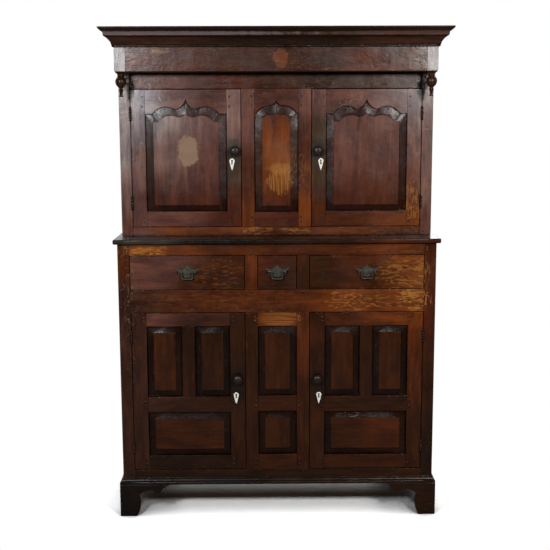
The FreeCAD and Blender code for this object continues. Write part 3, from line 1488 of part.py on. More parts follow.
def case_nodes():
    """The sub-parts that stand still."""
    lower = lower_front()
    centre, centre_panels = lower_centre(lower)
    upper = upper_front()
    upper_middle, upper_panels = upper_centre(upper)
    lower_side, lower_side_panels = side_frame(
        "lower_side", SIDE_LOWER, LOWER_FRONT, (S.lower_stile_depth, S.lower_stile_depth),
        (LOWER_BOTTOM, LOWER_TOP), (S.lower_side_bottom_rail_height, S.lower_side_top_rail_height))
    upper_side, upper_side_panels = side_frame(
        "upper_side", SIDE_UPPER, UPPER_FRONT, (S.upper_stile_depth, S.upper_stile_depth),
        (UPPER_BOTTOM, UPPER_TOP), (S.upper_side_bottom_rail_height, S.upper_side_top_rail_height))
    lower_tools = lower_side.rail_tenons + lower_side.hollows
    upper_tools = upper_side.rail_tenons + upper_side.hollows
    leaves = []
    for door in (LOWER_DOOR, UPPER_DOOR):
        leaves += door.hinge_leaves(on_door=False)
    lower_hinges = LOWER_DOOR.hinge_cuts("lower_stile", on_door=False)
    upper_hinges = UPPER_DOOR.hinge_cuts("upper_stile", on_door=False)
    lower_stiles = lower.finished_uprights(lower_tools + lower_hinges)
    upper_stiles = upper.finished_uprights(upper_tools + upper_hinges)
    node("lower_front_stiles", [both(piece.Name + "_pair", piece) for piece in lower_stiles])
    node("lower_front_rails", lower.finished_rails() + lower.pegs)
    node("lower_centre_frame", centre.finished_uprights() + centre.finished_rails() + centre.pegs)
    node("upper_front_stiles", [both(piece.Name + "_pair", piece) for piece in upper_stiles])
    node("upper_front_rails", upper.finished_rails() + upper.pegs)
    node("upper_centre_frame",
         upper_middle.finished_uprights() + upper_middle.finished_rails() + upper_middle.pegs)
    node("centre_panels", centre_panels + upper_panels)
    for name, frame, panels in (("lower_side", lower_side, lower_side_panels),
                                ("upper_side", upper_side, upper_side_panels)):
        wood = frame.finished_rails() + frame.pegs
        node(name + "_rails", [both(name + "_rails_pair", group(name + "_rails_right", wood))])
        node(name + "_panels", [both(name + "_panels_pair", group(name + "_panels_right", panels))])
    lower_rails = [(LOWER_BOTTOM, LOWER_FLOOR), (LOWER_DOOR_TOP, DRAWER_FLOOR), (DRAWER_TOP, LOWER_TOP)]
    node("lower_back_frame", back_frame("lower_back", LOWER_HALF, (S.lower_stile_width, S.lower_stile_depth),
                                        (LOWER_BOTTOM, LOWER_TOP), lower_rails, lower_tools))
    upper_rails = [(UPPER_BOTTOM, UPPER_FLOOR), (FRIEZE_TOP - S.upper_back_rail_height, FRIEZE_TOP)]
    node("upper_back_frame", back_frame("upper_back", UPPER_HALF, (S.upper_stile_width, S.upper_stile_depth),
                                        (UPPER_BOTTOM, FRIEZE_TOP), upper_rails, upper_tools))
    lower_boards = back_boards("lower_back_board", LOWER_STILE_EDGE + S.groove_depth,
                               (LOWER_BOTTOM, LOWER_TOP))
    upper_boards = back_boards("upper_back_board", UPPER_STILE_EDGE + S.groove_depth,
                               (UPPER_BOTTOM, FRIEZE_TOP))
    node("back_boards", lower_boards + upper_boards)
    node("inner_boards", inner_boards())
    node("drawer_runners", drawer_runners())
    node("waist_board", [waist_board()])
    base_profile = scaled(BASE_SHARES, S.base_projection, S.base_moulding_height)
    node("base_moulding",
         moulding_round("base", base_profile, ZERO, LOWER_HALF, LOWER_FRONT, LOWER_BOTTOM))
    node("bracket_feet", bracket_feet())
    node("frieze", frieze())
    node("pendants", pendants())
    node("cornice_moulding",
         moulding_round("cornice", cornice_profile(), S.cornice_seat, UPPER_HALF, FRIEZE_FRONT, FRIEZE_TOP))
    node("roof_boards", roof_boards())
    node("case_hinge_leaves", [both(leaf.Name + "_pair", leaf) for leaf in leaves])


def drawer_nodes():
    """Three drawers with their handles."""
    spans = {
        "left": (-LOWER_STILE_EDGE, -LOWER_MUNTIN_EDGE),
        "centre": (-DIVIDER_EDGE, DIVIDER_EDGE),
        "right": (LOWER_MUNTIN_EDGE, LOWER_STILE_EDGE),
    }
    for name, span in spans.items():
        middle = (span[0] + span[1]) / 2
        drawer(name, span)
        handle_plate(name, middle)
        bail(name, middle)


UPPER_DOOR = Door("upper_door", FRONT_UPPER, UPPER_MUNTIN_EDGE, UPPER_STILE_EDGE,
                  (UPPER_FLOOR, UPPER_DOOR_TOP))
LOWER_DOOR = Door("lower_door", FRONT_LOWER, LOWER_MUNTIN_EDGE, LOWER_STILE_EDGE,
                  (LOWER_FLOOR, LOWER_DOOR_TOP))

case_nodes()
door_nodes(UPPER_DOOR, upper_door_frame, S.upper_keyhole_inset, S.upper_keyhole_height,
           S.upper_knob_inset, S.upper_knob_height)
door_nodes(LOWER_DOOR, lower_door_frame, S.lower_keyhole_inset, S.lower_keyhole_height,
           S.lower_knob_inset, S.lower_knob_height)
drawer_nodes()
doc.recompute()
check_document()

os.makedirs("parts", exist_ok=True)
for part in nodes:
    part.Shape.exportStep(f"parts/{part.Label}.step")
print(len(nodes), "sub-parts")
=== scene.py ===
"""Two-stage oak cupboard: every board with its own grain, patina and worn edges, and some sheen and shade
painted into its colour, in soft studio light.
"""

import json
import math
import random

import bmesh
import bpy
from mathutils import Matrix, Vector


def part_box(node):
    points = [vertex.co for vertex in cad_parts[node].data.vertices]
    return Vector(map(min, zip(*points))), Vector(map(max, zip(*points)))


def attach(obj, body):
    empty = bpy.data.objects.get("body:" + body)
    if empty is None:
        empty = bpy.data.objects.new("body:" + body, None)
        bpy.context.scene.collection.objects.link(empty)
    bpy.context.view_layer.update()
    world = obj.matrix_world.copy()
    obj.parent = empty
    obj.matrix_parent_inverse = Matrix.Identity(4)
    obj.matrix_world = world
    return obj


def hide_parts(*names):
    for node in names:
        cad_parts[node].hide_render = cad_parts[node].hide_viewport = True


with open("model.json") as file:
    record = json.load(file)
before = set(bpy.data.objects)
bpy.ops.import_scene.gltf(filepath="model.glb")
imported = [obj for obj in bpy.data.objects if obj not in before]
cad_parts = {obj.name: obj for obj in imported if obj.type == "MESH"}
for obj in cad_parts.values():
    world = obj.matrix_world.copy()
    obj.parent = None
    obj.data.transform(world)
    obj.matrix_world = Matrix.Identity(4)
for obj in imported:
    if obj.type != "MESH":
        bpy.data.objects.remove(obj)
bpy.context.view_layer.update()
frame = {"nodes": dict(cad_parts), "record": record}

X = 0
Y = 1
Z = 2
# Front planes of the two stages and heights on them, from the frame
LOWER_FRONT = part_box("left_drawer_front")[0][Y]
UPPER_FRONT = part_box("upper_left_door_frame")[0][Y]
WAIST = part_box("waist_board")[0][Z]
FRIEZE_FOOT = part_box("frieze")[0][Z]

# Camera as it stood for the photograph, in metres and radians; the distance is from the drawer fronts'
# plane, and the lens and the sensor are in millimetres
CAMERA_X = -0.046
CAMERA_DISTANCE = 3.7057
CAMERA_Z = 1.528
CAMERA_PITCH = 0.15653
CAMERA_YAW = 0.01022
CAMERA_ROLL = -0.00347
CAMERA_LENS = 65.45
SENSOR_WIDTH = 36.0
# Right, down and forward of a level camera that looks along Y
LEVEL_AXES = Matrix(((1, 0, 0), (0, 0, -1), (0, 1, 0)))

# Worn edges: how wide they are rounded and in how many steps, and which edges are
BOARD_ROUNDING = 0.0014
METAL_ROUNDING = 0.00035
ROUNDING_STEPS = 2
SHORTEST_EDGE = 0.0012
BLUNT_ANGLE = math.radians(28)
FLAT_ANGLE = math.radians(0.4)
# Corners of triangles are the same place where they agree to this many decimals of a metre
PLACE_DECIMALS = 6

# Boards are cut into cells of this size, so that their tone can change along them
CELL_SIZE = 0.055
# Closer to a named place than this, the tone is nearly all of that place
TONE_REACH = 0.03
# Solids that are smaller than this on the front are pegs, and darker
PEG_SIZE = 0.012
PEG_SHADE = 0.45
# Faces of a front panel that lean more than this are its sunk rim, darkened with painted shade
RIM_FLATNESS = 0.985
RIM_PAINTED_SHADE = 0.30
# How much darker or lighter one board is than the next, on show and inside
BOARD_LIGHTS = (0.94, 1.06)
INSIDE_LIGHTS = (0.85, 1.15)
# How far a board's middle is from the pith of its tree, and how far its grain is shifted along it at most
PITH_DISTANCES = (0.05, 0.15)
GRAIN_SHIFT = 5.0

# Noises in the oak, per metre along, across and through a board
SWAY_SCALES = (2.2, 9.0, 9.0)
STREAK_SCALES = (6.0, 90.0, 90.0)
BLOTCH_SCALES = (7.0, 24.0, 24.0)
PORE_SCALES = (40.0, 1300.0, 1300.0)
FIGURE_SCALES = (15.0, 60.0, 60.0)
DAPPLE_SCALES = (14.0, 160.0, 160.0)
LINE_SCALES = (7.0, 300.0, 300.0)
# Rings round the pith: the part of the grain's place that they follow, their sway and how fine they are
ROUND_PITH = (0.0, 1.0, 1.0)
RING_SWAY = 0.05
RING_SCALE = 330.0
# What the noises do: from its first level to its second, a noise's shade or share goes from the third
# number to the fourth, or from nought to one
RING_SHADES = (0.30, 0.70, 0.92, 1.08)
STREAK_SHADES = (0.30, 0.70, 0.84, 1.18)
BLOTCH_LEVELS = (0.32, 0.68)
BLOTCH_COOL = (0.72, 0.68, 0.70)
BLOTCH_WARM = (1.32, 1.25, 1.08)
PORE_LEVELS = (0.58, 0.72, 0.0, 0.5)
RAY_LEVELS = (0.60, 0.74, 0.0, 0.22)
# Rubbed edges, and corners darkened partly by dirt and partly by painted shade
WEAR_SCALE = 22.0
WEAR_LEVELS = (0.45, 0.65, 0.0, 0.25)
DIRT_AND_SHADE_REACH = 0.02
DIRT_AND_SHADE_LEVELS = (0.30, 0.95, 0.10, 1.0)
# Relief of the oak: hollows and swellings of the old boards, and the grain in them
WAVE_SCALE = 13.0
WAVE_HEIGHT = 0.0022
GRAIN_HEIGHT = 0.0003
GRAIN_STRENGTH = 0.6
STREAK_RELIEF = 0.5
PORE_RELIEF = 0.8
# Polish of the oak, and where it is smeared or broken by pores
OAK_ROUGHNESS = 0.21
INSIDE_ROUGHNESS = 0.55
SMEAR_SCALE = 9.0
SMEAR_LEVELS = (0.3, 0.7)
SMEAR_ROUGHNESS = 0.12
PORE_ROUGHNESS = 0.2
OAK_REFLECTION = 0.26

# Dark turned wood, with its two colours at their levels of the mottle
TURNED_SCALE = 90.0
TURNED_COLOURS = ((0.25, (0.007, 0.005, 0.004)), (0.8, (0.030, 0.016, 0.012)))
TURNED_SMEAR_SCALE = 160.0
TURNED_ROUGHNESS = (0.3, 0.7, 0.28, 0.44)
TURNED_HEIGHT = 0.0003
TURNED_REFLECTION = 0.28

# Bone, with its two colours at their levels of the clouds, and flecks that run upright
BONE_SCALE = 120.0
BONE_COLOURS = ((0.3, (0.80, 0.74, 0.60)), (0.7, (0.92, 0.90, 0.84)))
FLECK_SCALES = (1500.0, 1500.0, 375.0)
FLECK_LEVELS = (0.66, 0.76, 0.0, 0.6)
FLECK_COLOUR = (0.20, 0.13, 0.07)
BONE_HEIGHT = 0.0002
BONE_ROUGHNESS = 0.38

# Metals: colour of the patina and of rubbed places, roughness and how metallic it is
METALS = {
    "iron": ((0.034, 0.022, 0.018), (0.110, 0.075, 0.060), 0.50, 0.5),
    "bronze": ((0.034, 0.036, 0.025), (0.150, 0.140, 0.100), 0.42, 0.4),
}
PATINA_SCALE = 140.0
RUBBED_LEVELS = (0.45, 0.75)
RUBBED_EDGE = 0.5
PATINA_LEVELS = (0.3, 0.7)
PATINA_ROUGHNESS = 0.12
RUBBED_POLISH = 0.08
CASTING_SCALE = 420.0
CASTING_HEIGHT = 0.0002

# Tones of the old oak as they would be written on a chart, in linear light
# Pearl and lilac are painted sheen of the polish, and mauve is the red oak paled by part of that sheen
PALETTE = {
    # Soot serves both for dark dirt and for painted shade and painted shadow
    "soot_and_shade": (0.0080, 0.0048, 0.0030),
    "pitch": (0.0190, 0.0070, 0.0025),
    "umber": (0.0270, 0.0080, 0.0022),
    "walnut": (0.0370, 0.0098, 0.0024),
    "damson": (0.0370, 0.0130, 0.0068),
    "chestnut": (0.0620, 0.0145, 0.0034),
    "auburn": (0.0580, 0.0125, 0.0048),
    "russet": (0.1150, 0.0270, 0.0052),
    "amber": (0.1700, 0.0480, 0.0105),
    "gold": (0.3600, 0.1500, 0.0320),
    "tan": (0.2400, 0.1500, 0.0950),
    "plum": (0.1020, 0.0380, 0.0280),
    "mauve": (0.1450, 0.0780, 0.0660),
    "lilac_sheen": (0.2100, 0.1650, 0.1680),
    "pearl_sheen": (0.3000, 0.2800, 0.3050),
    "olive": (0.0420, 0.0240, 0.0115),
    "slate": (0.0330, 0.0260, 0.0200),
}
PLAIN_TONE = "chestnut"
INSIDE_TONE = (0.17, 0.095, 0.050)

# Tones by node: places on the front, as x and z in metres, with the tone given there. Near the upper
# corners the pale tones are painted sheen of the polish, and lower down the tones grow darker.
TONES = {
    "frieze": (
        (-0.575, 1.74, "pearl_sheen"), (-0.54, 1.74, "plum"), (-0.40, 1.74, "chestnut"), (-0.12, 1.74, "walnut"),
        (0.12, 1.74, "walnut"), (0.35, 1.74, "chestnut"), (0.52, 1.74, "chestnut"), (0.575, 1.74, "pearl_sheen")),
    "cornice_moulding": ((-0.60, 1.82, "damson"), (0.0, 1.82, "pitch"), (0.60, 1.82, "damson")),
    "upper_front_stiles": (
        (-0.57, 1.66, "pearl_sheen"), (-0.57, 1.56, "lilac_sheen"), (-0.57, 1.36, "lilac_sheen"), (-0.57, 1.26, "mauve"),
        (-0.57, 1.10, "plum"), (0.57, 1.66, "lilac_sheen"), (0.57, 1.45, "mauve"), (0.57, 1.30, "mauve"),
        (0.57, 1.10, "plum")),
    "upper_front_rails": (
        (-0.53, 1.66, "mauve"), (-0.42, 1.66, "plum"), (-0.20, 1.66, "auburn"), (0.0, 1.66, "walnut"),
        (0.25, 1.66, "umber"), (0.50, 1.66, "walnut"),
        (-0.53, 1.096, "plum"), (-0.38, 1.096, "russet"), (-0.1, 1.096, "russet"), (0.05, 1.096, "chestnut"),
        (0.25, 1.096, "russet"), (0.50, 1.096, "chestnut")),
    "upper_centre_frame": (
        (0.108, 1.60, "plum"), (0.108, 1.45, "auburn"), (0.108, 1.30, "chestnut"), (0.108, 1.13, "russet"),
        (-0.108, 1.60, "plum"), (-0.108, 1.45, "plum"), (-0.108, 1.32, "chestnut"), (-0.108, 1.13, "russet"),
        (-0.05, 1.60, "auburn"), (0.05, 1.60, "auburn"), (-0.05, 1.14, "auburn"), (0.05, 1.14, "auburn")),
    "upper_left_door_frame": (
        (-0.52, 1.60, "pearl_sheen"), (-0.52, 1.50, "lilac_sheen"), (-0.52, 1.38, "mauve"), (-0.52, 1.16, "plum"),
        (-0.48, 1.60, "pearl_sheen"), (-0.44, 1.60, "mauve"), (-0.38, 1.60, "plum"), (-0.28, 1.60, "auburn"),
        (-0.20, 1.60, "auburn"), (-0.16, 1.60, "mauve"), (-0.16, 1.48, "mauve"), (-0.16, 1.41, "slate"),
        (-0.16, 1.34, "olive"), (-0.16, 1.20, "auburn"), (-0.45, 1.145, "plum"), (-0.33, 1.145, "plum"),
        (-0.22, 1.145, "auburn")),
    "upper_left_door_panel": (
        (-0.44, 1.54, "lilac_sheen"), (-0.30, 1.54, "mauve"), (-0.22, 1.50, "plum"), (-0.40, 1.38, "mauve"),
        (-0.28, 1.38, "plum"), (-0.42, 1.20, "auburn"), (-0.25, 1.20, "auburn")),
    "upper_right_door_frame": (
        (0.16, 1.60, "plum"), (0.16, 1.48, "olive"), (0.16, 1.36, "olive"), (0.16, 1.18, "chestnut"),
        (0.20, 1.60, "chestnut"), (0.32, 1.60, "plum"), (0.45, 1.60, "mauve"),
        (0.52, 1.60, "lilac_sheen"), (0.52, 1.45, "mauve"), (0.52, 1.30, "plum"), (0.52, 1.16, "russet"),
        (0.22, 1.145, "chestnut"), (0.33, 1.145, "chestnut"), (0.45, 1.145, "russet")),
    "upper_right_door_panel": (
        (0.26, 1.54, "plum"), (0.42, 1.54, "plum"), (0.26, 1.38, "plum"), (0.42, 1.38, "plum"),
        (0.26, 1.20, "auburn"), (0.42, 1.20, "chestnut")),
    "centre_panels": (
        (0.0, 1.55, "chestnut"), (0.0, 1.45, "russet"), (0.0, 1.36, "amber"), (0.0, 1.28, "russet"),
        (0.0, 1.19, "auburn"), (0.0, 0.70, "walnut"), (0.0, 0.50, "walnut"), (0.0, 0.33, "walnut")),
    "waist_board": (
        (-0.50, 1.07, "slate"), (-0.20, 1.07, "soot_and_shade"), (0.20, 1.07, "pitch"), (0.50, 1.07, "chestnut")),
    "lower_front_stiles": (
        (-0.575, 1.02, "chestnut"), (-0.575, 0.80, "damson"), (-0.575, 0.50, "damson"),
        (-0.575, 0.20, "damson"),
        (0.575, 1.02, "chestnut"), (0.575, 0.80, "auburn"), (0.575, 0.50, "umber"), (0.575, 0.20, "pitch")),
    "lower_front_rails": (
        (-0.50, 1.04, "amber"), (-0.38, 1.04, "russet"), (-0.20, 1.04, "chestnut"), (0.0, 1.04, "chestnut"),
        (0.20, 1.04, "chestnut"), (0.45, 1.04, "russet"),
        (-0.50, 0.845, "damson"), (-0.30, 0.845, "chestnut"), (0.0, 0.845, "chestnut"),
        (0.25, 0.845, "russet"), (0.45, 0.845, "russet"), (0.55, 0.845, "amber"),
        (-0.10, 0.99, "russet"), (-0.10, 0.92, "chestnut"), (0.10, 0.99, "walnut"), (0.10, 0.92, "umber"),
        (-0.40, 0.155, "pitch"), (0.0, 0.155, "pitch"), (0.40, 0.155, "umber")),
    "lower_centre_frame": (
        (0.10, 0.70, "chestnut"), (0.10, 0.40, "walnut"), (-0.10, 0.70, "umber"), (-0.10, 0.30, "umber"),
        (0.0, 0.775, "russet"), (0.0, 0.445, "walnut"), (0.0, 0.21, "walnut")),
    "left_drawer_front": (
        (-0.50, 0.95, "plum"), (-0.38, 0.97, "plum"), (-0.34, 0.91, "walnut"), (-0.20, 0.95, "walnut")),
    "centre_drawer_front": ((-0.05, 0.99, "auburn"), (0.05, 0.95, "damson"), (0.0, 0.90, "pitch")),
    "right_drawer_front": (
        (0.18, 0.95, "umber"), (0.30, 0.97, "chestnut"), (0.38, 0.92, "walnut"), (0.48, 0.95, "russet"),
        (0.54, 0.93, "amber")),
    "lower_left_door_frame": (
        (-0.52, 0.70, "damson"), (-0.52, 0.30, "damson"), (-0.15, 0.75, "umber"), (-0.15, 0.54, "pitch"),
        (-0.15, 0.30, "umber"), (-0.45, 0.775, "plum"), (-0.30, 0.775, "damson"), (-0.20, 0.775, "damson"),
        (-0.45, 0.445, "damson"), (-0.25, 0.445, "umber"), (-0.33, 0.21, "pitch"), (-0.337, 0.60, "umber")),
    "lower_left_door_panel": (
        (-0.42, 0.33, "walnut"), (-0.26, 0.33, "walnut"), (-0.43, 0.62, "walnut"), (-0.25, 0.62, "umber")),
    "lower_right_door_frame": (
        (0.15, 0.75, "walnut"), (0.15, 0.54, "umber"), (0.15, 0.30, "walnut"), (0.52, 0.75, "russet"),
        (0.52, 0.60, "chestnut"), (0.52, 0.30, "walnut"), (0.22, 0.775, "chestnut"), (0.40, 0.775, "russet"),
        (0.20, 0.445, "umber"), (0.45, 0.445, "umber"), (0.33, 0.21, "walnut"), (0.337, 0.60, "umber")),
    "lower_right_door_panel": (
        (0.25, 0.33, "walnut"), (0.42, 0.33, "chestnut"), (0.25, 0.66, "walnut"), (0.25, 0.50, "walnut"),
        (0.42, 0.62, "walnut")),
    "base_moulding": ((-0.50, 0.15, "soot_and_shade"), (0.50, 0.15, "pitch")),
    "bracket_feet": ((-0.50, 0.06, "soot_and_shade"), (0.50, 0.06, "pitch")),
    "pendants": ((-0.57, 1.65, "pitch"), (0.57, 1.65, "damson")),
    "lower_side_rails": ((-0.60, 0.60, "walnut"), (0.60, 0.60, "walnut")),
    "lower_side_panels": ((-0.60, 0.60, "walnut"), (0.60, 0.60, "walnut")),
    "upper_side_rails": ((-0.60, 1.40, "auburn"), (0.60, 1.40, "auburn")),
    "upper_side_panels": ((-0.60, 1.40, "auburn"), (0.60, 1.40, "chestnut")),
}

# The floor: its size, how light it is for the light and for the camera, how far and how deep the painted
# shade goes round what stands on it, and how far off it turns plain white across and along
FLOOR_SIZE = 14.0
FLOOR_UNSEEN = (0.25, 0.25, 0.25)
FLOOR_SEEN = (3.2, 3.2, 3.2)
FLOOR_CONTACT = 0.22
CONTACT_SHADES = (0.25, 0.95, 0.08, 1.0)
FADE_LEVELS = (0.85, 1.4)
FADE_SCALES = (1.6, 1.5, 0.0)
WHITE = (1.0, 1.0, 1.0)
# Dim surroundings, and the headings between which mirrored surroundings turn white behind the cupboard
AMBIENT = (0.030, 0.028, 0.026)
BEHIND_LEVELS = (-0.1, 0.5)
# Lamps: name, place, aim, size, power and colour
LAMPS = (
    ("left_box", (-1.25, -2.9, 2.12), (-0.2, 0.0, 1.2), (0.42, 0.42), 58.0, (0.94, 0.97, 1.0)),
    ("right_box", (1.3, -2.9, 2.12), (0.2, 0.0, 1.2), (0.42, 0.42), 50.0, (1.0, 0.96, 0.93)),
    ("back_box", (0.4, 3.4, 2.3), (0.0, 0.0, 0.9), (1.8, 1.4), 60.0, (1.0, 1.0, 1.0)),
)

# Marks on the front: kind, middle as x and z, half width and half height in metres, tone and strength.
# A cloud is a soft patch, a stain a crisp one, a figure shows only in the swirls of the grain, a streak
# only in its straight lines, and a scratch only in thin crossing lines.
# Some of the marks are painted shadow, shade and sheen, as the comments beside them say
MARKS = (
    ("stain", (-0.335, 1.400), (0.037, 0.058), "tan", 0.85),
    ("cloud", (0.005, 1.380), (0.060, 0.060), "amber", 0.45),
    ("cloud", (0.012, 1.335), (0.050, 0.024), "gold", 0.50),
    ("streak", (0.014, 1.290), (0.050, 0.050), "gold", 0.75),
    ("stain", (0.015, 1.740), (0.026, 0.036), "amber", 0.50),
    ("streak", (-0.430, 1.765), (0.040, 0.006), "gold", 0.70),
    ("figure", (-0.500, 1.036), (0.110, 0.022), "gold", 0.80),
    ("figure", (-0.075, 1.098), (0.070, 0.015), "gold", 0.80),
    ("figure", (0.070, 1.098), (0.060, 0.015), "gold", 0.65),
    ("figure", (0.300, 0.845), (0.140, 0.050), "gold", 0.50),
    ("figure", (0.520, 0.845), (0.075, 0.050), "gold", 0.85),
    ("streak", (0.005, 0.775), (0.082, 0.030), "gold", 0.45),
    ("figure", (0.480, 0.950), (0.110, 0.070), "gold", 0.50),
    ("figure", (0.520, 1.200), (0.040, 0.100), "gold", 0.45),
    ("figure", (0.108, 1.250), (0.035, 0.150), "amber", 0.50),
    ("cloud", (-0.158, 1.395), (0.030, 0.055), "slate", 0.70),
    ("cloud", (0.158, 1.395), (0.030, 0.060), "slate", 0.60),
    ("cloud", (-0.150, 0.520), (0.032, 0.080), "soot_and_shade", 0.55),
    ("cloud", (0.150, 0.520), (0.032, 0.080), "soot_and_shade", 0.50),
    ("figure", (-0.200, 0.845), (0.350, 0.050), "amber", 0.35),
    ("figure", (-0.220, 0.950), (0.100, 0.060), "amber", 0.45),
    ("figure", (-0.400, 1.098), (0.160, 0.015), "amber", 0.55),
    ("figure", (0.350, 1.098), (0.200, 0.015), "amber", 0.50),
    ("figure", (0.400, 1.040), (0.160, 0.022), "amber", 0.45),
    # Painted shadows of the pendants, cast inwards on the upper stiles
    ("cloud", (-0.543, 1.640), (0.017, 0.052), "soot_and_shade", 0.90),
    ("cloud", (0.543, 1.640), (0.020, 0.048), "soot_and_shade", 0.90),
    # Painted sheen at the upper left: a pearl patch of it, and real scratches made pale by painted sheen
    ("figure", (-0.495, 1.590), (0.045, 0.040), "pearl_sheen", 0.70),
    ("scratch", (-0.500, 1.590), (0.090, 0.070), "pearl_sheen", 1.00),
    ("scratch", (-0.535, 1.480), (0.060, 0.160), "lilac_sheen", 0.90),
    ("scratch", (-0.560, 0.800), (0.035, 0.300), "tan", 0.40),
    ("scratch", (0.070, 1.330), (0.045, 0.090), "tan", 0.70),
    # Painted light on the cornice: shade on its top member, sheen on its fillet, shadow lines in two creases
    ("cloud", (0.0, 1.844), (6.0, 0.010), "soot_and_shade", 0.80),
    ("cloud", (-0.45, 1.827), (0.60, 0.008), "lilac_sheen", 0.45),
    ("cloud", (0.50, 1.827), (0.45, 0.008), "mauve", 0.30),
    ("stain", (0.0, 1.8175), (6.0, 0.0035), "soot_and_shade", 0.90),
    ("stain", (0.0, 1.7880), (6.0, 0.0030), "soot_and_shade", 0.90),
)
# Where a mark of each kind begins and where it is whole, as shares of its half sizes
MARK_RIM_SHARES = {
    "cloud": (1.15, 0.60),
    "stain": (1.04, 0.94),
    "figure": (1.15, 0.60),
    "streak": (1.10, 0.80),
    "scratch": (1.15, 0.60),
}
# Levels of its own noise between which a mark begins to show; a stain is whole
MARK_LEVELS = {
    "cloud": (0.18, 0.40),
    "figure": (0.48, 0.60),
    "streak": (0.44, 0.56),
    "scratch": (0.013, 0.002),
}
# Ragged rims of the marks, and the lines of the scratches
RAGGED_SCALE = 45.0
RAGGED_DEPTH = 1.2
SCRATCH_SCALES = (34.0, 34.0, 15.3)
NOISE_MIDDLE = 0.5
# How deep a mark goes into a board, and the depth that takes it all through
MARK_DEPTH = 0.016
ALL_THROUGH = 10.0
# Half width and half height of the painted shade behind each escutcheon's keyhole
KEYHOLE_SHADE = (0.007, 0.013)


def front_at(height):
    """The front plane at a height and how deep marks go behind it; above the doors they go all through."""
    if height > FRIEZE_FOOT:
        return 0.0, ALL_THROUGH
    return (UPPER_FRONT if height > WAIST else LOWER_FRONT), MARK_DEPTH


class Paint:
    """Builds one node tree; most calls make a node and return the socket that comes out of it."""

    def __init__(self, owner):
        """The owner is a new material or world."""
        self.owner = owner
        owner.use_nodes = True
        self.tree = owner.node_tree
        self.tree.nodes.clear()

    def put(self, socket, value):
        """Links a socket or sets it to a number, a vector or a colour."""
        if isinstance(value, bpy.types.NodeSocket):
            self.tree.links.new(value, socket)
        elif socket.type == "RGBA":
            socket.default_value = (*value, 1.0)
        else:
            socket.default_value = value

    def make(self, kind, inputs, **settings):
        """Makes and returns a node with its settings and its inputs, which are named or numbered."""
        node = self.tree.nodes.new(kind)
        for name, value in settings.items():
            setattr(node, name, value)
        for name, value in inputs.items():
            self.put(node.inputs[name], value)
        return node

    def attribute(self, name, output="Vector"):
        """What the mesh stores under a name."""
        return self.make("ShaderNodeAttribute", {}, attribute_name=name).outputs[output]

    def place(self):
        """The place on the object at rest, in metres."""
        return self.make("ShaderNodeTexCoord", {}).outputs["Object"]

    def maths(self, operation, first, second=0.0, clamp=False):
        """A sum or another operation on one or two numbers."""
        node = self.make("ShaderNodeMath", {0: first, 1: second}, operation=operation, use_clamp=clamp)
        return node.outputs[0]

    def stretch(self, vector, scales):
        """A vector with each of its numbers scaled by its own."""
        return self.make("ShaderNodeVectorMath", {0: vector, 1: scales}, operation="MULTIPLY").outputs[0]

    def length(self, vector):
        """The length of a vector."""
        return self.make("ShaderNodeVectorMath", {0: vector}, operation="LENGTH").outputs["Value"]

    def noise(self, place, scale, detail=2.0, roughness=0.5, distortion=0.0):
        """Noise at a place, with one scale or with one for each direction."""
        if isinstance(scale, tuple):
            place = self.stretch(place, scale)
            scale = 1.0
        inputs = {"Vector": place, "Scale": scale, "Detail": detail, "Roughness": roughness,
                  "Distortion": distortion}
        return self.make("ShaderNodeTexNoise", inputs).outputs[0]

    def noise_along(self, number, scale, detail):
        """Noise along one number, such as the distance from a board's pith."""
        inputs = {"W": number, "Scale": scale, "Detail": detail}
        return self.make("ShaderNodeTexNoise", inputs, noise_dimensions="1D").outputs[0]

    def between(self, value, low, high, to_low=0.0, to_high=1.0):
        """A soft step from one level to another."""
        inputs = {"Value": value, "From Min": low, "From Max": high, "To Min": to_low, "To Max": to_high}
        node = self.make("ShaderNodeMapRange", inputs, interpolation_type="SMOOTHSTEP")
        return node.outputs["Result"]

    def openness(self, distance, samples):
        """One where the surface is open, less in a corner, down to nought in a narrow gap."""
        node = self.make("ShaderNodeAmbientOcclusion", {"Distance": distance}, samples=samples)
        return node.outputs["AO"]

    def mix(self, share, first, second, blend="MIX"):
        """Two colours mixed; the node keeps its colours in inputs 6 and 7 and output 2."""
        inputs = {0: share, 6: first, 7: second}
        return self.make("ShaderNodeMix", inputs, data_type="RGBA", blend_type=blend).outputs[2]

    def times(self, colour, factor):
        """A colour made lighter or darker by a number."""
        grey = self.make("ShaderNodeCombineColor", {0: factor, 1: factor, 2: factor}).outputs[0]
        return self.mix(1.0, colour, grey, "MULTIPLY")

    def ramp(self, share, stops):
        """Two colours, each at its level of a share, and a straight run between them."""
        node = self.make("ShaderNodeValToRGB", {0: share})
        for element, (position, colour) in zip(node.color_ramp.elements, stops):
            element.position = position
            element.color = (*colour, 1.0)
        return node.outputs[0]

    def oval(self, place, centre, size, rough, rims):
        """One inside an upright oval on the front, nought outside and behind, with a ragged rim."""
        front, depth = front_at(centre[1])
        scales = (1 / size[0], 1 / depth, 1 / size[1])
        offset = (-centre[0] / size[0], -front / depth, -centre[1] / size[1])
        node = self.make("ShaderNodeVectorMath", {0: place, 1: scales, 2: offset}, operation="MULTIPLY_ADD")
        distance = self.maths("ADD", self.length(node.outputs[0]), rough)
        return self.between(distance, *rims)

    def bump(self, height, distance, strength=1.0, normal=None):
        """A relief from a height, on the plain surface or on another relief."""
        inputs = {"Height": height, "Distance": distance, "Strength": strength}
        if normal is not None:
            inputs["Normal"] = normal
        return self.make("ShaderNodeBump", inputs).outputs[0]

    def show(self, shader, kind="ShaderNodeOutputMaterial"):
        """Sends a shader to the output of the material or world."""
        self.make(kind, {"Surface": shader.outputs[0]})

    def finish(self, **inputs):
        """The material, with inputs such as base_color for the socket Base Color."""
        titles = {"ior_level": "Specular IOR Level"}
        named = {titles.get(name, name.replace("_", " ").title()): value for name, value in inputs.items()}
        self.show(self.make("ShaderNodeBsdfPrincipled", named))
        return self.owner


def new_paint(name):
    """A paint for a new material."""
    return Paint(bpy.data.materials.new(name))


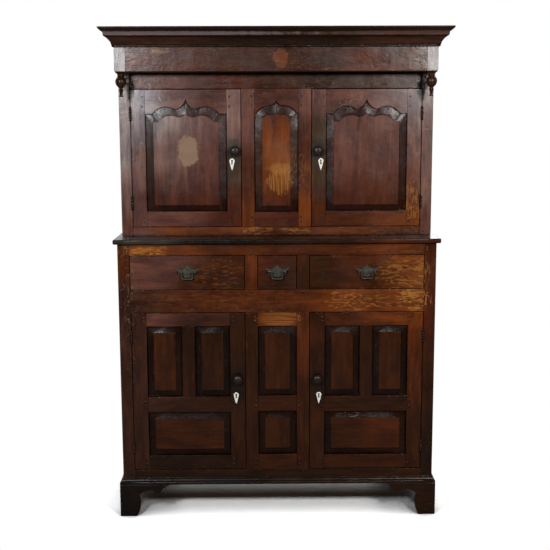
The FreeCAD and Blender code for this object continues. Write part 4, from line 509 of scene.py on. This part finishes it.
def oak(name, polished, marks=()):
    """Old oak with grain, pores, rays, blotches, worn edges and marks, some marks painted shade and sheen,
    with dirt and painted shade in its corners; polished is its least roughness."""
    paint = new_paint(name)
    grain = paint.attribute("grain")
    colour = paint.attribute("tone", "Color")
    edge = paint.attribute("edge", "Fac")
    place = paint.place()

    sway = paint.noise(grain, SWAY_SCALES, detail=3.0)
    radius = paint.length(paint.stretch(grain, ROUND_PITH))
    ring_place = paint.maths("ADD", radius, paint.maths("MULTIPLY", sway, RING_SWAY))
    rings = paint.noise_along(ring_place, RING_SCALE, detail=2.0)
    streaks = paint.noise(grain, STREAK_SCALES, detail=4.0, roughness=0.6)
    blotches = paint.noise(grain, BLOTCH_SCALES, detail=3.0, roughness=0.55, distortion=0.6)
    pores = paint.between(paint.noise(grain, PORE_SCALES, detail=1.0), *PORE_LEVELS)
    figure = paint.noise(grain, FIGURE_SCALES, detail=3.0, roughness=0.6, distortion=2.4)

    colour = paint.times(colour, paint.between(rings, *RING_SHADES))
    colour = paint.times(colour, paint.between(streaks, *STREAK_SHADES))
    warmth = paint.mix(paint.between(blotches, *BLOTCH_LEVELS), BLOTCH_COOL, BLOTCH_WARM)
    colour = paint.mix(1.0, colour, warmth, "MULTIPLY")
    colour = paint.times(colour, paint.maths("SUBTRACT", 1.0, pores))
    colour = paint.mix(paint.between(figure, *RAY_LEVELS), colour, PALETTE["amber"])
    if marks:
        colour = marked(paint, colour, grain, place, figure, marks)
    wear = paint.between(paint.noise(place, WEAR_SCALE, detail=3.0), *WEAR_LEVELS)
    colour = paint.mix(paint.maths("MULTIPLY", edge, wear), colour, PALETTE["amber"])
    # Corners, gaps and recesses are darkened by how closed in they are: partly dirt, partly painted shade
    colour = paint.times(colour, paint.between(paint.openness(DIRT_AND_SHADE_REACH, samples=6), *DIRT_AND_SHADE_LEVELS))

    normal = paint.bump(paint.noise(place, WAVE_SCALE, detail=3.0), WAVE_HEIGHT)
    swelling = paint.maths("MULTIPLY", streaks, STREAK_RELIEF)
    relief = paint.maths("SUBTRACT", swelling, paint.maths("MULTIPLY", pores, PORE_RELIEF))
    normal = paint.bump(relief, GRAIN_HEIGHT, GRAIN_STRENGTH, normal)
    smear = paint.noise(place, SMEAR_SCALE, detail=4.0, roughness=0.65)
    smeared = paint.between(smear, *SMEAR_LEVELS, polished, polished + SMEAR_ROUGHNESS)
    roughness = paint.maths("ADD", smeared, paint.maths("MULTIPLY", pores, PORE_ROUGHNESS))
    return paint.finish(base_color=colour, roughness=roughness, normal=normal, ior_level=OAK_REFLECTION)


def marked(paint, colour, grain, place, figure, marks):
    """The oak's colour with its marks over it, one after the other; some marks are painted shade, shadow and
    sheen.
    """
    uneven = paint.noise(place, RAGGED_SCALE, detail=3.0, roughness=0.65)
    rough = paint.maths("MULTIPLY", paint.maths("SUBTRACT", uneven, NOISE_MIDDLE), RAGGED_DEPTH)
    lines = paint.noise(place, SCRATCH_SCALES, detail=1.5, distortion=0.8)
    noises = {
        "cloud": paint.noise(grain, DAPPLE_SCALES, detail=3.0),
        "figure": figure,
        "streak": paint.noise(grain, LINE_SCALES, detail=2.0),
        "scratch": paint.maths("ABSOLUTE", paint.maths("SUBTRACT", lines, NOISE_MIDDLE)),
    }
    masks = {kind: paint.between(noise, *MARK_LEVELS[kind]) for kind, noise in noises.items()}
    masks["stain"] = 1.0
    for kind, centre, size, tone, strength in marks:
        shape = paint.oval(place, centre, size, rough, MARK_RIM_SHARES[kind])
        mask = paint.maths("MULTIPLY", shape, masks[kind])
        colour = paint.mix(paint.maths("MULTIPLY", mask, strength), colour, PALETTE[tone])
    return colour


def keyhole_shade_marks():
    """Painted shade: the oak behind each escutcheon's keyhole is painted black."""
    marks = []
    for node in frame["nodes"]:
        if node.endswith("escutcheon"):
            low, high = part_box(node)
            middle = ((low[X] + high[X]) / 2, (low[Z] + high[Z]) / 2)
            marks.append(("stain", middle, KEYHOLE_SHADE, "soot_and_shade", 1.0))
    return tuple(marks)


def dark_wood():
    """Dark polished turned wood."""
    paint = new_paint("dark_wood")
    place = paint.place()
    mottle = paint.noise(place, TURNED_SCALE, detail=4.0, roughness=0.6)
    colour = paint.ramp(mottle, TURNED_COLOURS)
    roughness = paint.between(paint.noise(place, TURNED_SMEAR_SCALE, detail=3.0), *TURNED_ROUGHNESS)
    normal = paint.bump(mottle, TURNED_HEIGHT)
    return paint.finish(base_color=colour, roughness=roughness, normal=normal, ior_level=TURNED_REFLECTION)


def bone():
    """Aged bone: clouded cream with fine dark flecks."""
    paint = new_paint("bone")
    place = paint.place()
    cloud = paint.noise(place, BONE_SCALE, detail=3.0)
    flecks = paint.between(paint.noise(place, FLECK_SCALES, detail=2.0), *FLECK_LEVELS)
    colour = paint.mix(flecks, paint.ramp(cloud, BONE_COLOURS), FLECK_COLOUR)
    normal = paint.bump(cloud, BONE_HEIGHT)
    return paint.finish(base_color=colour, roughness=BONE_ROUGHNESS, normal=normal)


def metal(name, dark, light, roughness, metallic):
    """Old metal: dark patina with lighter rubbed places."""
    paint = new_paint(name)
    place = paint.place()
    edge = paint.attribute("edge", "Fac")
    cloud = paint.noise(place, PATINA_SCALE, detail=4.0, roughness=0.65)
    worn = paint.maths("MULTIPLY", edge, RUBBED_EDGE)
    rubbed = paint.maths("ADD", paint.between(cloud, *RUBBED_LEVELS), worn, clamp=True)
    colour = paint.mix(rubbed, dark, light)
    normal = paint.bump(paint.noise(place, CASTING_SCALE, detail=3.0), CASTING_HEIGHT)
    rough = paint.between(cloud, *PATINA_LEVELS, roughness + PATINA_ROUGHNESS, roughness - RUBBED_POLISH)
    return paint.finish(base_color=colour, roughness=rough, normal=normal, metallic=metallic)


def build_materials():
    """The finishes by the names of their slots."""
    materials = {
        "oak": oak("oak", OAK_ROUGHNESS, MARKS + keyhole_shade_marks()),
        "oak_inside": oak("oak_inside", INSIDE_ROUGHNESS),
        "dark_wood": dark_wood(),
        "bone": bone(),
    }
    for name, looks in METALS.items():
        materials[name] = metal(name, *looks)
    return materials


def solids_of(mesh):
    """The mesh's closed solids one after the other, each a list of triangles of places."""
    places = [tuple(round(number, PLACE_DECIMALS) for number in vertex.co) for vertex in mesh.vertices]
    solids = []
    solid = []
    open_edges = set()
    for polygon in mesh.polygons:
        corners = [places[index] for index in polygon.vertices]
        if len(set(corners)) < len(corners):
            continue
        solid.append(corners)
        for start, end in zip(corners, corners[1:] + corners[:1]):
            if (end, start) in open_edges:
                open_edges.remove((end, start))
            else:
                open_edges.add((start, end))
        if not open_edges:
            solids.append(solid)
            solid = []
    if solid:
        solids.append(solid)
    return solids


def rounded_solid(triangles, rounding):
    """One solid with its flat faces whole and its outer edges rounded; marks the rounded edges."""
    shape = bmesh.new()
    vertices = {}
    for triangle in triangles:
        for place in triangle:
            if place not in vertices:
                vertices[place] = shape.verts.new(place)
        # A second face on the same corners is refused, and left out
        try:
            shape.faces.new([vertices[place] for place in triangle])
        except ValueError:
            continue
    bmesh.ops.recalc_face_normals(shape, faces=shape.faces)
    bmesh.ops.dissolve_limit(shape, angle_limit=FLAT_ANGLE, verts=shape.verts, edges=shape.edges)
    edges = [edge for edge in shape.edges if edge.is_manifold and edge.is_convex
             and edge.calc_length() > SHORTEST_EDGE and edge.calc_face_angle() > BLUNT_ANGLE]
    mark = shape.verts.layers.float.new("edge")
    if edges:
        made = bmesh.ops.bevel(shape, geom=edges, offset=rounding, segments=ROUNDING_STEPS, profile=0.5,
                               affect="EDGES", clamp_overlap=False)
        rounded = set(made["faces"])
        for vertex in shape.verts:
            vertex[mark] = 1.0 if all(face in rounded for face in vertex.link_faces) else 0.0
    return shape


def corners_of(shape):
    """The lowest and highest place of a shape."""
    low = [min(vertex.co[axis] for vertex in shape.verts) for axis in (X, Y, Z)]
    high = [max(vertex.co[axis] for vertex in shape.verts) for axis in (X, Y, Z)]
    return low, high


def cut_in_cells(shape, low, high):
    """Cuts a board across its width and height, so that its tone can change from cell to cell."""
    for axis in (X, Z):
        count = int((high[axis] - low[axis]) / CELL_SIZE)
        for step in range(1, count):
            place = [0.0, 0.0, 0.0]
            normal = [0.0, 0.0, 0.0]
            place[axis] = low[axis] + (high[axis] - low[axis]) * step / count
            normal[axis] = 1.0
            bmesh.ops.bisect_plane(shape, geom=shape.verts[:] + shape.edges[:] + shape.faces[:],
                                   plane_co=place, plane_no=normal)


def board_grain(shape, low, high, chance):
    """Stores each point's place along, across and through the board, away from its pith."""
    sizes = [high[axis] - low[axis] for axis in (X, Y, Z)]
    order = sorted((X, Y, Z), key=lambda axis: -sizes[axis])
    middle = [(high[axis] + low[axis]) / 2 for axis in (X, Y, Z)]
    turn = chance.uniform(0.0, math.pi)
    pith = chance.uniform(*PITH_DISTANCES)
    shift = chance.uniform(-GRAIN_SHIFT, GRAIN_SHIFT)
    offsets = (shift, pith * math.cos(turn), pith * math.sin(turn))
    layer = shape.verts.layers.float_vector.new("grain")
    for vertex in shape.verts:
        along = [vertex.co[axis] - middle[axis] + offset for axis, offset in zip(order, offsets)]
        vertex[layer] = Vector(along)


def tone_at(place, points):
    """The tone at a place, from the tones round it; the nearer ones count for more."""
    total = 0.0
    colour = Vector((0.0, 0.0, 0.0))
    for x, z, name in points:
        squared_distance = (place[X] - x) ** 2 + (place[Z] - z) ** 2 + TONE_REACH ** 2
        share = 1 / squared_distance ** 2
        total += share
        colour += Vector(PALETTE[name]) * share
    return colour / total


def board_tone(shape, node, low, high, chance):
    """Stores a board's tone, from the places named inside it or else from all of its node, with painted
    shade on the sunk rims of front panels.
    """
    named = TONES.get(node, ())
    inside = [point for point in named if low[X] <= point[0] <= high[X] and low[Z] <= point[1] <= high[Z]]
    points = inside or named or ((0.0, 0.0, PLAIN_TONE),)
    light = chance.uniform(*BOARD_LIGHTS)
    if max(high[axis] - low[axis] for axis in (X, Z)) < PEG_SIZE:
        light = PEG_SHADE
    front_panel = "panel" in node and "side" not in node
    shape.normal_update()
    layer = shape.loops.layers.float_color.new("tone")
    for face in shape.faces:
        # Painted shade on the leaning rim of a front panel
        sunk = front_panel and abs(face.normal.y) < RIM_FLATNESS
        shade = light * (RIM_PAINTED_SHADE if sunk else 1.0)
        for loop in face.loops:
            loop[layer] = Vector((*(tone_at(loop.vert.co, points) * shade), 1.0))


def inside_tone(shape, chance):
    """Stores the paler tone of oak that was never polished."""
    tone = Vector(INSIDE_TONE) * chance.uniform(*INSIDE_LIGHTS)
    layer = shape.loops.layers.float_color.new("tone")
    for face in shape.faces:
        for loop in face.loops:
            loop[layer] = Vector((*tone, 1.0))


def dress(node, slot, rounding, material):
    """The node's solids as boards or castings, with rounded edges, grain and tone."""
    whole = bmesh.new()
    for index, triangles in enumerate(solids_of(frame["nodes"][node].data)):
        chance = random.Random(f"{node} {index}")
        shape = rounded_solid(triangles, rounding)
        low, high = corners_of(shape)
        if node in TONES:
            cut_in_cells(shape, low, high)
        board_grain(shape, low, high, chance)
        if slot == "oak_inside":
            inside_tone(shape, chance)
        else:
            board_tone(shape, node, low, high, chance)
        part = bpy.data.meshes.new("part")
        shape.to_mesh(part)
        shape.free()
        whole.from_mesh(part)
        bpy.data.meshes.remove(part)
    mesh = bpy.data.meshes.new(node + "_look")
    whole.to_mesh(mesh)
    whole.free()
    mesh.shade_smooth()
    mesh.materials.append(material)
    piece = bpy.data.objects.new(node + "_look", mesh)
    bpy.context.scene.collection.objects.link(piece)
    normals = piece.modifiers.new("normals", "WEIGHTED_NORMAL")
    normals.keep_sharp = True
    return piece


def dress_everything(materials):
    """Every node's dressed piece rides on the node's body and takes its place."""
    slots = {entry["node"]: entry["material_slot"] for entry in frame["record"]["subparts"]}
    for body, nodes in frame["record"]["behaviour"]["bodies"].items():
        for node in nodes:
            slot = slots[node]
            rounding = BOARD_ROUNDING if slot in ("oak", "oak_inside") else METAL_ROUNDING
            piece = dress(node, slot, rounding, materials[slot])
            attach(piece, body)
            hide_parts(node)


def build_camera():
    """The camera where it stood for the photograph."""
    yaw = Matrix.Rotation(CAMERA_YAW, 3, "Z")
    pitch = Matrix.Rotation(CAMERA_PITCH, 3, "X")
    roll = Matrix.Rotation(CAMERA_ROLL, 3, "Z")
    right, down, forward = roll @ pitch @ LEVEL_AXES @ yaw
    axes = Matrix((right, -down, -forward)).transposed()
    data = bpy.data.cameras.new("camera")
    data.lens = CAMERA_LENS
    data.sensor_width = SENSOR_WIDTH
    camera = bpy.data.objects.new("camera", data)
    spot = Matrix.Translation((CAMERA_X, LOWER_FRONT - CAMERA_DISTANCE, CAMERA_Z))
    camera.matrix_world = spot @ axes.to_4x4()
    bpy.context.scene.collection.objects.link(camera)
    bpy.context.scene.camera = camera


def build_lamp(name, place, aim, size, power, colour):
    """A soft box that looks at a place."""
    data = bpy.data.lights.new(name, "AREA")
    data.shape = "RECTANGLE"
    data.size, data.size_y = size
    data.energy = power
    data.color = colour
    lamp = bpy.data.objects.new(name, data)
    lamp.location = place
    lamp.rotation_euler = (Vector(aim) - Vector(place)).to_track_quat("-Z", "Y").to_euler()
    bpy.context.scene.collection.objects.link(lamp)


def build_floor():
    """A pale floor: lit, with shadows and painted contact shade round the cupboard, plain white further off.
    """
    bpy.ops.mesh.primitive_plane_add(size=FLOOR_SIZE, location=(0.0, 0.0, 0.0))
    floor = bpy.context.object
    floor.name = "floor"
    paint = new_paint("floor")
    seen = paint.make("ShaderNodeLightPath", {}).outputs["Is Camera Ray"]
    # Painted shade: the floor the camera sees darkens where the cupboard closes it in
    painted_contact_shade = paint.between(paint.openness(FLOOR_CONTACT, samples=8), *CONTACT_SHADES)
    colour = paint.mix(seen, FLOOR_UNSEEN, paint.times(FLOOR_SEEN, painted_contact_shade))
    lit = paint.make("ShaderNodeBsdfDiffuse", {"Color": colour}).outputs[0]
    white = paint.make("ShaderNodeEmission", {"Color": WHITE, "Strength": 1.0}).outputs[0]
    away = paint.between(paint.length(paint.stretch(paint.place(), FADE_SCALES)), *FADE_LEVELS)
    share = paint.maths("MULTIPLY", away, seen)
    paint.show(paint.make("ShaderNodeMixShader", {0: share, 1: lit, 2: white}))
    floor.data.materials.append(paint.owner)


def build_world():
    """White where it is seen, and where polish mirrors what is behind the cupboard; dim in front."""
    world = bpy.data.worlds.new("studio")
    bpy.context.scene.world = world
    paint = Paint(world)
    rays = paint.make("ShaderNodeLightPath", {}).outputs
    heading = paint.make("ShaderNodeTexCoord", {}).outputs["Generated"]
    along = paint.make("ShaderNodeSeparateXYZ", {0: heading}).outputs["Y"]
    mirrored = paint.maths("MULTIPLY", paint.between(along, *BEHIND_LEVELS), rays["Is Glossy Ray"])
    white = paint.maths("MAXIMUM", mirrored, rays["Is Camera Ray"])
    background = paint.make("ShaderNodeBackground", {"Color": paint.mix(white, AMBIENT, WHITE)})
    paint.show(background, "ShaderNodeOutputWorld")


def build_studio():
    """The floor, the world and the lamps."""
    build_floor()
    build_world()
    for lamp in LAMPS:
        build_lamp(*lamp)


dress_everything(build_materials())
build_camera()
build_studio()
bpy.context.scene.view_settings.view_transform = "Standard"
